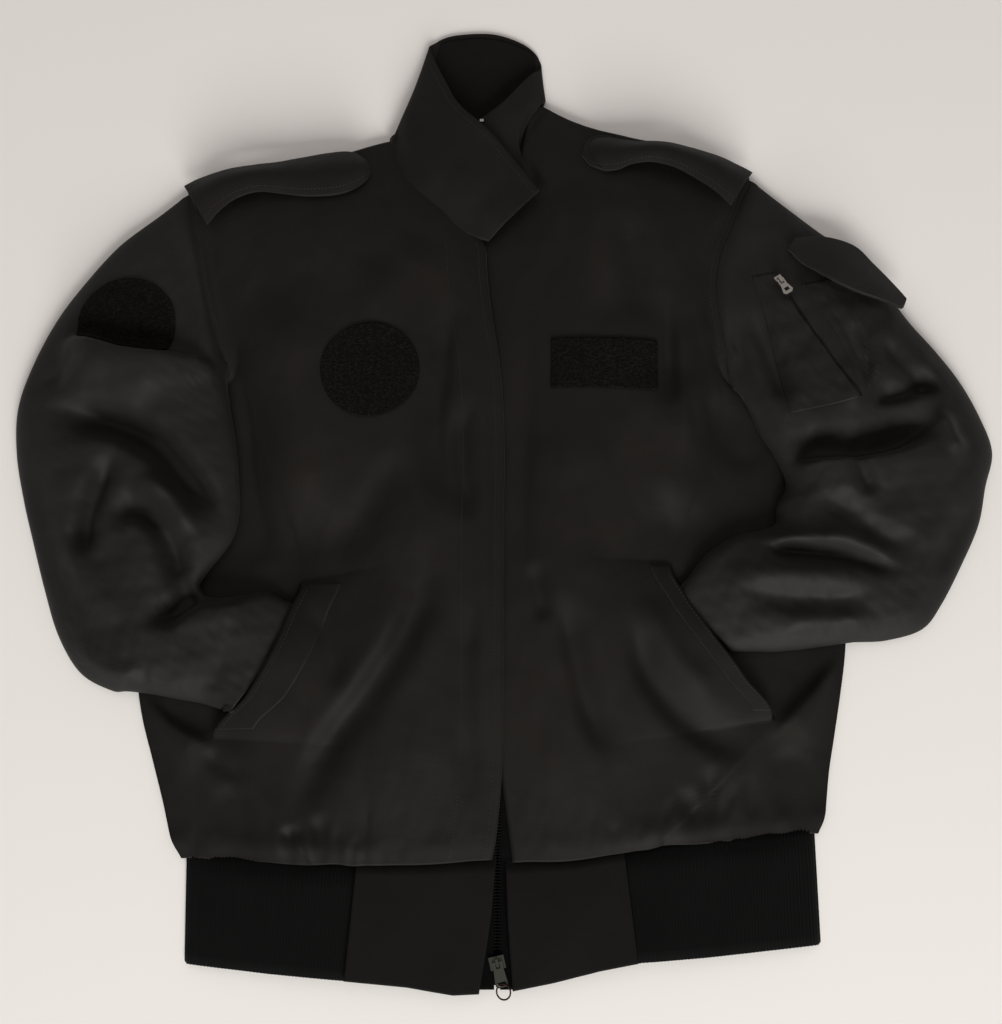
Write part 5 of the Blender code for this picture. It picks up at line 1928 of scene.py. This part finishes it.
def bake(piece: bpy.types.Object, tree: bpy.types.NodeTree) -> None:
    """Run a node tree after the piece's other modifiers and keep the plain mesh it makes.

    Args:
        piece: The object to change.
        tree: The tree to run.
    """
    modifier = piece.modifiers.new(tree.name, "NODES")
    modifier.node_group = tree
    bpy.context.view_layer.update()
    graph = bpy.context.evaluated_depsgraph_get()
    made = bpy.data.meshes.new_from_object(piece.evaluated_get(graph), depsgraph=graph)
    piece.modifiers.clear()
    piece.data = made


def rib_displacement(pitch: float, depth: float) -> bpy.types.NodeTree:
    """Knit ribs: the surface swells and sinks along the distance kept in the "wale" attribute.

    Args:
        pitch: Distance between ribs, in mm.
        depth: Height of a rib, in mm.

    Returns:
        The tree.
    """
    tree, start, end = new_tree("knit_ribs", {"Pitch": pitch, "Depth": depth * MM})

    def times(a: object, b: object) -> bpy.types.NodeSocket:
        """The product of two values."""
        return add_node(tree, "ShaderNodeMath", {0: a, 1: b}, operation="MULTIPLY").outputs[0]

    wale = add_node(tree, "GeometryNodeInputNamedAttribute", {"Name": "wale"}, data_type="FLOAT")
    turns = add_node(
        tree, "ShaderNodeMath", {0: wale.outputs[0], 1: start.outputs["Pitch"]}, operation="DIVIDE"
    )
    wave = add_node(tree, "ShaderNodeMath", {0: times(turns.outputs[0], math.tau)}, operation="SINE")
    place = add_node(tree, "GeometryNodeInputPosition")
    height = add_node(tree, "ShaderNodeSeparateXYZ", {0: place.outputs[0]})
    off_floor = add_node(
        tree, "ShaderNodeMapRange", {"Value": height.outputs["Z"], "From Max": 4 * MM, "To Max": 1.0}
    )
    amount = times(times(wave.outputs[0], start.outputs["Depth"]), off_floor.outputs[0])
    normal = add_node(tree, "GeometryNodeInputNormal")
    move = add_node(
        tree, "ShaderNodeVectorMath", {0: normal.outputs[0], "Scale": amount}, operation="SCALE"
    )
    moved = add_node(
        tree,
        "GeometryNodeSetPosition",
        {"Geometry": start.outputs["Geometry"], "Offset": move.outputs[0]},
    )
    tree.links.new(moved.outputs[0], end.inputs[0])
    return tree


@dataclass
class Repeat:
    """Copies of one small shape set along lines, each turned to run with its line.

    Args:
        name: The tree's name.
        spacing: Distance between copies, in mm.
        size: The shape's size along, across and up, in mm.
        finish: Its finish.
        sides: How many sides the shape has.
    """

    name: str
    spacing: float
    size: tuple[float, float, float]
    finish: Finish
    sides: int = 6

    def tree(self, material: bpy.types.Material) -> bpy.types.NodeTree:
        """The tree that turns loose edges into rows of the shape in a material."""
        tree, start, end = new_tree(self.name, {"Spacing": self.spacing * MM})
        curve = add_node(tree, "GeometryNodeMeshToCurve", {"Mesh": start.outputs["Geometry"]})
        spaced = add_node(
            tree,
            "GeometryNodeResampleCurve",
            {"Curve": curve.outputs[0], "Length": start.outputs["Spacing"]},
            mode="LENGTH",
        )
        shape = add_node(
            tree, "GeometryNodeMeshUVSphere", {"Segments": self.sides, "Rings": 4, "Radius": 0.5 * MM}
        )
        sized = add_node(tree, "GeometryNodeTransform", {"Geometry": shape.outputs[0], "Scale": self.size})
        tangent = add_node(tree, "GeometryNodeInputTangent")
        turned = add_node(
            tree, "FunctionNodeAlignEulerToVector", {"Vector": tangent.outputs[0]}, axis="X", pivot_axis="Z"
        )
        copies = add_node(
            tree, "GeometryNodeInstanceOnPoints",
            {"Points": spaced.outputs[0], "Instance": sized.outputs[0], "Rotation": turned.outputs[0]},
        )
        real = add_node(tree, "GeometryNodeRealizeInstances", {0: copies.outputs[0]})
        smooth_faces = add_node(tree, "GeometryNodeSetShadeSmooth", {0: real.outputs[0]})
        painted = add_node(
            tree, "GeometryNodeSetMaterial", {"Geometry": smooth_faces.outputs[0], "Material": material}
        )
        tree.links.new(painted.outputs[0], end.inputs[0])
        return tree

    def make(self, tailor: Tailor, name: str, lines: list[np.ndarray]) -> bpy.types.Object:
        """The copies as one plain mesh.

        Args:
            tailor: Who dresses it.
            name: The object's name.
            lines: Plan points of each line, as x, y, z in mm.

        Returns:
            The new object.
        """
        points, edges = [], []
        for line in lines:
            start = len(points)
            points += [tuple(p) for p in to_world(line)]
            edges += [(start + i, start + i + 1) for i in range(len(line) - 1)]
        data = bpy.data.meshes.new(name)
        data.from_pydata(points, edges, [])
        piece = add_object(name, data)
        bake(piece, self.tree(tailor.wardrobe.material(self.finish)))
        return tailor.dress(piece, self.finish)


@dataclass
class Seams:
    """Every row of top stitching, laid on the finished cloth."""

    pitch: float = 3.1
    lines: list[np.ndarray] = field(default_factory=list)

    def sew(self, ground: Ground, line: np.ndarray, lift: float = 0.12) -> None:
        """Add one row of stitches.

        Args:
            ground: The cloth's upper face.
            line: Its plan points, as x, y.
            lift: How far the thread stands off the cloth, in mm.
        """
        length = np.linalg.norm(np.diff(line, axis=0), axis=1).sum()
        way = along(np.asarray(line, float), max(int(length / 3), 4))
        z = ground.at(way[:, 0], way[:, 1])
        good = z > 1.0
        if good.all():
            self.lines.append(np.column_stack([way, z + lift]))

    def make(self, tailor: Tailor) -> bpy.types.Object:
        """All the stitches as one piece."""
        stitches = Repeat("lockstitch", self.pitch, (2.5, 0.55, 0.45), tailor.wardrobe.thread)
        return stitches.make(tailor, "top_stitching", self.lines)


@dataclass
class MainZip:
    """The front zip: two tapes with their coils, and the slider hardware from the frame."""

    fronts: tuple[Front, Front]
    tape_width: float = 16.0
    tape_wall: float = 1.0
    step_y: float = -284.5
    low_z: float = 8.5
    end_y: float = -381.0
    top_y: float = 226.0
    inner_edges: dict[Side, float] = field(default_factory=lambda: {Side.RIGHT: -5.3, Side.LEFT: -0.7})
    tooth: tuple[float, float, float] = (1.5, 3.4, 1.9)
    pitch: float = 2.4

    def height(self, side: Side, y: np.ndarray) -> np.ndarray:
        """How high a tape runs under its front and on down the waistband.

        Args:
            side: Which tape.
            y: Plan places along it.

        Returns:
            Heights in mm.
        """
        front = self.fronts[0 if side is Side.RIGHT else 1]
        rows = [row for row in front.rows if row.edge_y <= self.top_y + 12]
        under = np.interp(y, [row.edge_y for row in rows], [row.edge_z for row in rows]) - 3.6
        fall = smooth((y - self.step_y) / 9.0)
        return self.low_z * (1 - fall) + under * fall

    def make(self, tailor: Tailor) -> list[bpy.types.Object]:
        """The finished tapes and coils."""
        pieces, lines = [], []
        for side in Side:
            inner = self.inner_edges[side]
            y = np.linspace(self.end_y, self.top_y, 240)
            edge = np.full(len(y), inner)
            if side is Side.RIGHT:
                rows = [row for row in self.fronts[0].rows if row.edge_y < 240]
                limit = np.interp(y, [row.edge_y for row in rows], [row.edge_x for row in rows]) - 4.0
                edge = np.where(y > 0, np.minimum(edge, limit), edge)
            x = edge[:, None] + side.outwards * np.linspace(0, self.tape_width, 12)
            grid = np.stack(
                [x, np.broadcast_to(y[:, None], (240, 12)),
                 np.broadcast_to(self.height(side, y)[:, None], (240, 12))], axis=2
            )
            cut = Cut(self.tape_width / 1000, 0.618, rests_on=("back_panel_cloth",))
            pieces.append(
                tailor.sew(f"zip_tape_{side.letter}", Sheet(grid), tailor.wardrobe.tape, self.tape_wall, cut)
            )
            above = (y > -352) & (y < 200)
            lines.append(
                np.column_stack([edge - side.outwards * 0.6, y, self.height(side, y) - 0.4])[above]
            )
        teeth = Repeat("zip_teeth", self.pitch, self.tooth, tailor.wardrobe.coil)
        pieces.append(teeth.make(tailor, "zip_coils", lines))
        return pieces


@dataclass
class SleeveZip:
    """The closed coil zip of the pocket on the left sleeve, below its slider."""

    start: tuple[float, float] = (246.0, 181.0)
    end: tuple[float, float] = (300.0, 93.0)
    pitch: float = 2.0

    def make(self, tailor: Tailor, ground: Ground) -> bpy.types.Object:
        """The finished coil."""
        way = along(np.array([self.start, (272.0, 137.0), self.end]), 60)
        z = ground.at(way[:, 0], way[:, 1]) + 0.1
        teeth = Repeat("pocket_zip_teeth", self.pitch, (1.3, 3.6, 1.4), tailor.wardrobe.coil)
        return teeth.make(tailor, "sleeve_zip_coil", [np.column_stack([way, z])])


# ---------------------------------------------------------------- the set


@dataclass
class Studio:
    """A plain pale floor, a window's light from beyond the hem, and the camera above."""

    distance: float = 1.2
    tilt: float = 13.0
    lens: float = 50.3
    floor_colour: str = "#e9e5e1"

    def make_floor(self) -> None:
        """The floor, which isn't part of the jacket."""
        shape = bmesh.new()
        bmesh.ops.create_grid(shape, x_segments=1, y_segments=1, size=4.0)
        floor = add_object("floor", mesh_from(shape, "floor"))
        floor.location.z = -0.0004
        # Matt painted board.
        paint = Finish("matt_floor_paint", "", self.floor_colour, 0.9)
        floor.data.materials.append(paint.material())

    def make_light(self, name: str, place: tuple[float, float, float], size: float, power: float,
                   colour: str) -> None:
        """One area light aimed at the jacket.

        Args:
            name: The light's name.
            place: Where it is, in metres.
            size: Its side, in metres.
            power: Its power, in watts.
            colour: Its sRGB colour.
        """
        data = bpy.data.lights.new(name, "AREA")
        data.shape = "SQUARE"
        data.size = size
        data.energy = power
        data.color = linear(colour)[:3]
        light = add_object(name, data)
        light.location = place
        light.rotation_euler = (-Vector(place)).to_track_quat("-Z", "Y").to_euler()

    def make(self) -> None:
        """Floor, lights, world and camera."""
        self.make_floor()
        self.make_light("window", (0.7, -4.3, 2.2), 2.4, 300.0, "#fafaf8")
        self.make_light("ceiling", (-0.4, 0.8, 2.6), 2.4, 8.0, "#fff2ea")
        world = bpy.data.worlds.new("soft_room")
        world.use_nodes = True
        sky = world.node_tree.nodes["Background"]
        sky.inputs["Color"].default_value = linear("#faf8f6")
        sky.inputs["Strength"].default_value = 0.35
        bpy.context.scene.world = world
        bpy.context.scene.view_settings.view_transform = "Standard"
        data = bpy.data.cameras.new("camera")
        data.lens = self.lens
        data.sensor_width = 36.0
        camera = add_object("camera", data)
        angle = math.radians(self.tilt)
        target = to_world((0.0, 0.0, 0.0))
        camera.location = Vector(target) + Vector((0, -math.sin(angle), math.cos(angle))) * self.distance
        camera.rotation_euler = (angle, 0, 0)
        bpy.context.scene.camera = camera


def finish_hardware(frame: dict, tailor: Tailor) -> None:
    """Give the frame's own metal pieces their finishes.

    Args:
        tailor: Who dresses the pieces.
    """
    wardrobe = tailor.wardrobe
    finishes = {
        "zip_slider": wardrobe.enamel,
        "zip_pull": wardrobe.enamel,
        "zip_ring": wardrobe.bronze,
        "zip_top_stop": wardrobe.nickel,
        "sleeve_slider": wardrobe.nickel,
        "sleeve_pull": wardrobe.nickel,
    }
    for node, finish in finishes.items():
        piece = frame["nodes"][node]
        piece.data.materials.clear()
        piece.data.materials.append(wardrobe.material(finish))


def seam_lines(right: Front, left: Front) -> list[np.ndarray]:
    """Where the top stitching runs.

    Args:
        right: The right front.
        left: The left front.

    Returns:
        Each row of stitches as plan points.
    """
    lines = []
    edge = eased(right.rows, np.linspace(0.2, 15, 60))[:, :2]
    lines += [edge - np.array([7.0, 0.0]), edge - np.array([34.0, 0.0])]
    collar = eased(COLLAR_ROWS, np.linspace(13, 17.9, 40))
    lines.append(offset_line(collar[:, 3:5], -6.0))
    for strap in (RIGHT_STRAP, LEFT_STRAP):
        rows = eased(strap, np.linspace(0.2, len(strap) - 1.6, 50))
        front, back = rows[:, :2], rows[:, 3:5]
        lines += [front + (back - front) * 0.12, front + (back - front) * 0.88]
    for front, width in ((right, RIGHT_WELT), (left, LEFT_WELT)):
        low, high = front.mouth_rows
        mouth = eased(front.rows, np.linspace(low + 0.3, high - 0.3, 40))[:, 6:8]
        lines.append(mouth - np.array([front.side.outwards * width * 0.2, 0.0]))
        armhole = front.side_line(400)[250:392, :2]
        lines.append(armhole - np.array([front.side.outwards * 5.0, 0.0]))
    return lines


def main() -> None:
    """Load the frame, make every piece from the floor up, and set the scene."""
    logging.basicConfig(level=logging.INFO, format="%(message)s")
    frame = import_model()
    tailor = Tailor(Wardrobe())

    right = Front(Side.RIGHT, RIGHT_FRONT, RIGHT_FRONT_FOLDS, Cut(0.315, 0.64, 0.158))
    left = Front(Side.LEFT, LEFT_FRONT, LEFT_FRONT_FOLDS, Cut(0.30, 0.66, 0.148))
    first, last = COLLAR_BACK
    neck = tuple((row.neck_x, row.neck_y - 3) for row in COLLAR_ROWS[last : first - 1 : -1])
    Back(right, left, neck).make(tailor)
    bags = [PocketBag(Side.RIGHT, RIGHT_BAG).make(tailor), PocketBag(Side.LEFT, LEFT_BAG).make(tailor)]
    fronts = [right.make(tailor), left.make(tailor)]

    low_cloth = Ground([*fronts, *bags], below=17.0)
    low_cloth.survey(10.0)
    lips = Ground([*fronts, *bags], below=11.0)
    lips.survey(12.0)
    sleeve_cut = Cut(0.40, 0.56, 0.165, "folded")
    right_sleeve = Sleeve(Side.RIGHT, RIGHT_SLEEVE, right, RIGHT_SLEEVE_FOLDS, sleeve_cut)
    left_sleeve = Sleeve(Side.LEFT, LEFT_SLEEVE, left, LEFT_SLEEVE_FOLDS, sleeve_cut)
    sleeves = [right_sleeve.make(tailor, low_cloth), left_sleeve.make(tailor, low_cloth)]
    Cuff(right_sleeve).make(tailor, lips)
    Cuff(left_sleeve).make(tailor, lips)
    collar = Collar().make(tailor)
    waist = Waistband((right, left)).make(tailor)

    cloth = Ground([*fronts, *sleeves])
    straps = [ShoulderStrap(Side.RIGHT, RIGHT_STRAP).make(tailor, cloth),
              ShoulderStrap(Side.LEFT, LEFT_STRAP).make(tailor, cloth)]
    RoundPatch("chest_patch", -109, 113, 41, "front_r_cloth").make(tailor, cloth)
    RoundPatch("sleeve_patch", -318, 158, 42, "sleeve_r_cloth", PATCH_FOLD).make(tailor, cloth)
    NamePatch().make(tailor, cloth)
    welts = [
        Welt(right, RIGHT_WELT, cut_width=28.8).make(tailor, cloth),
        Welt(left, LEFT_WELT, cut_width=12.45).make(tailor, cloth),
    ]
    pocket = SLEEVE_POCKET.make(tailor, cloth)
    pen = PEN_POCKET.make(tailor, cloth)
    pockets = Ground([sleeves[1], pocket, pen])
    flap = PEN_FLAP.make(tailor, pockets)
    MainZip((right, left)).make(tailor)
    SleeveZip().make(tailor, pockets)

    seams = Seams()
    everything = Ground([*fronts, *sleeves, *collar, *waist, *straps, *welts, pocket, pen, flap])
    for line in seam_lines(right, left):
        seams.sew(everything, line)
    seams.make(tailor)

    finish_hardware(frame, tailor)
    Studio().make()


if __name__ == "__main__":
    main()
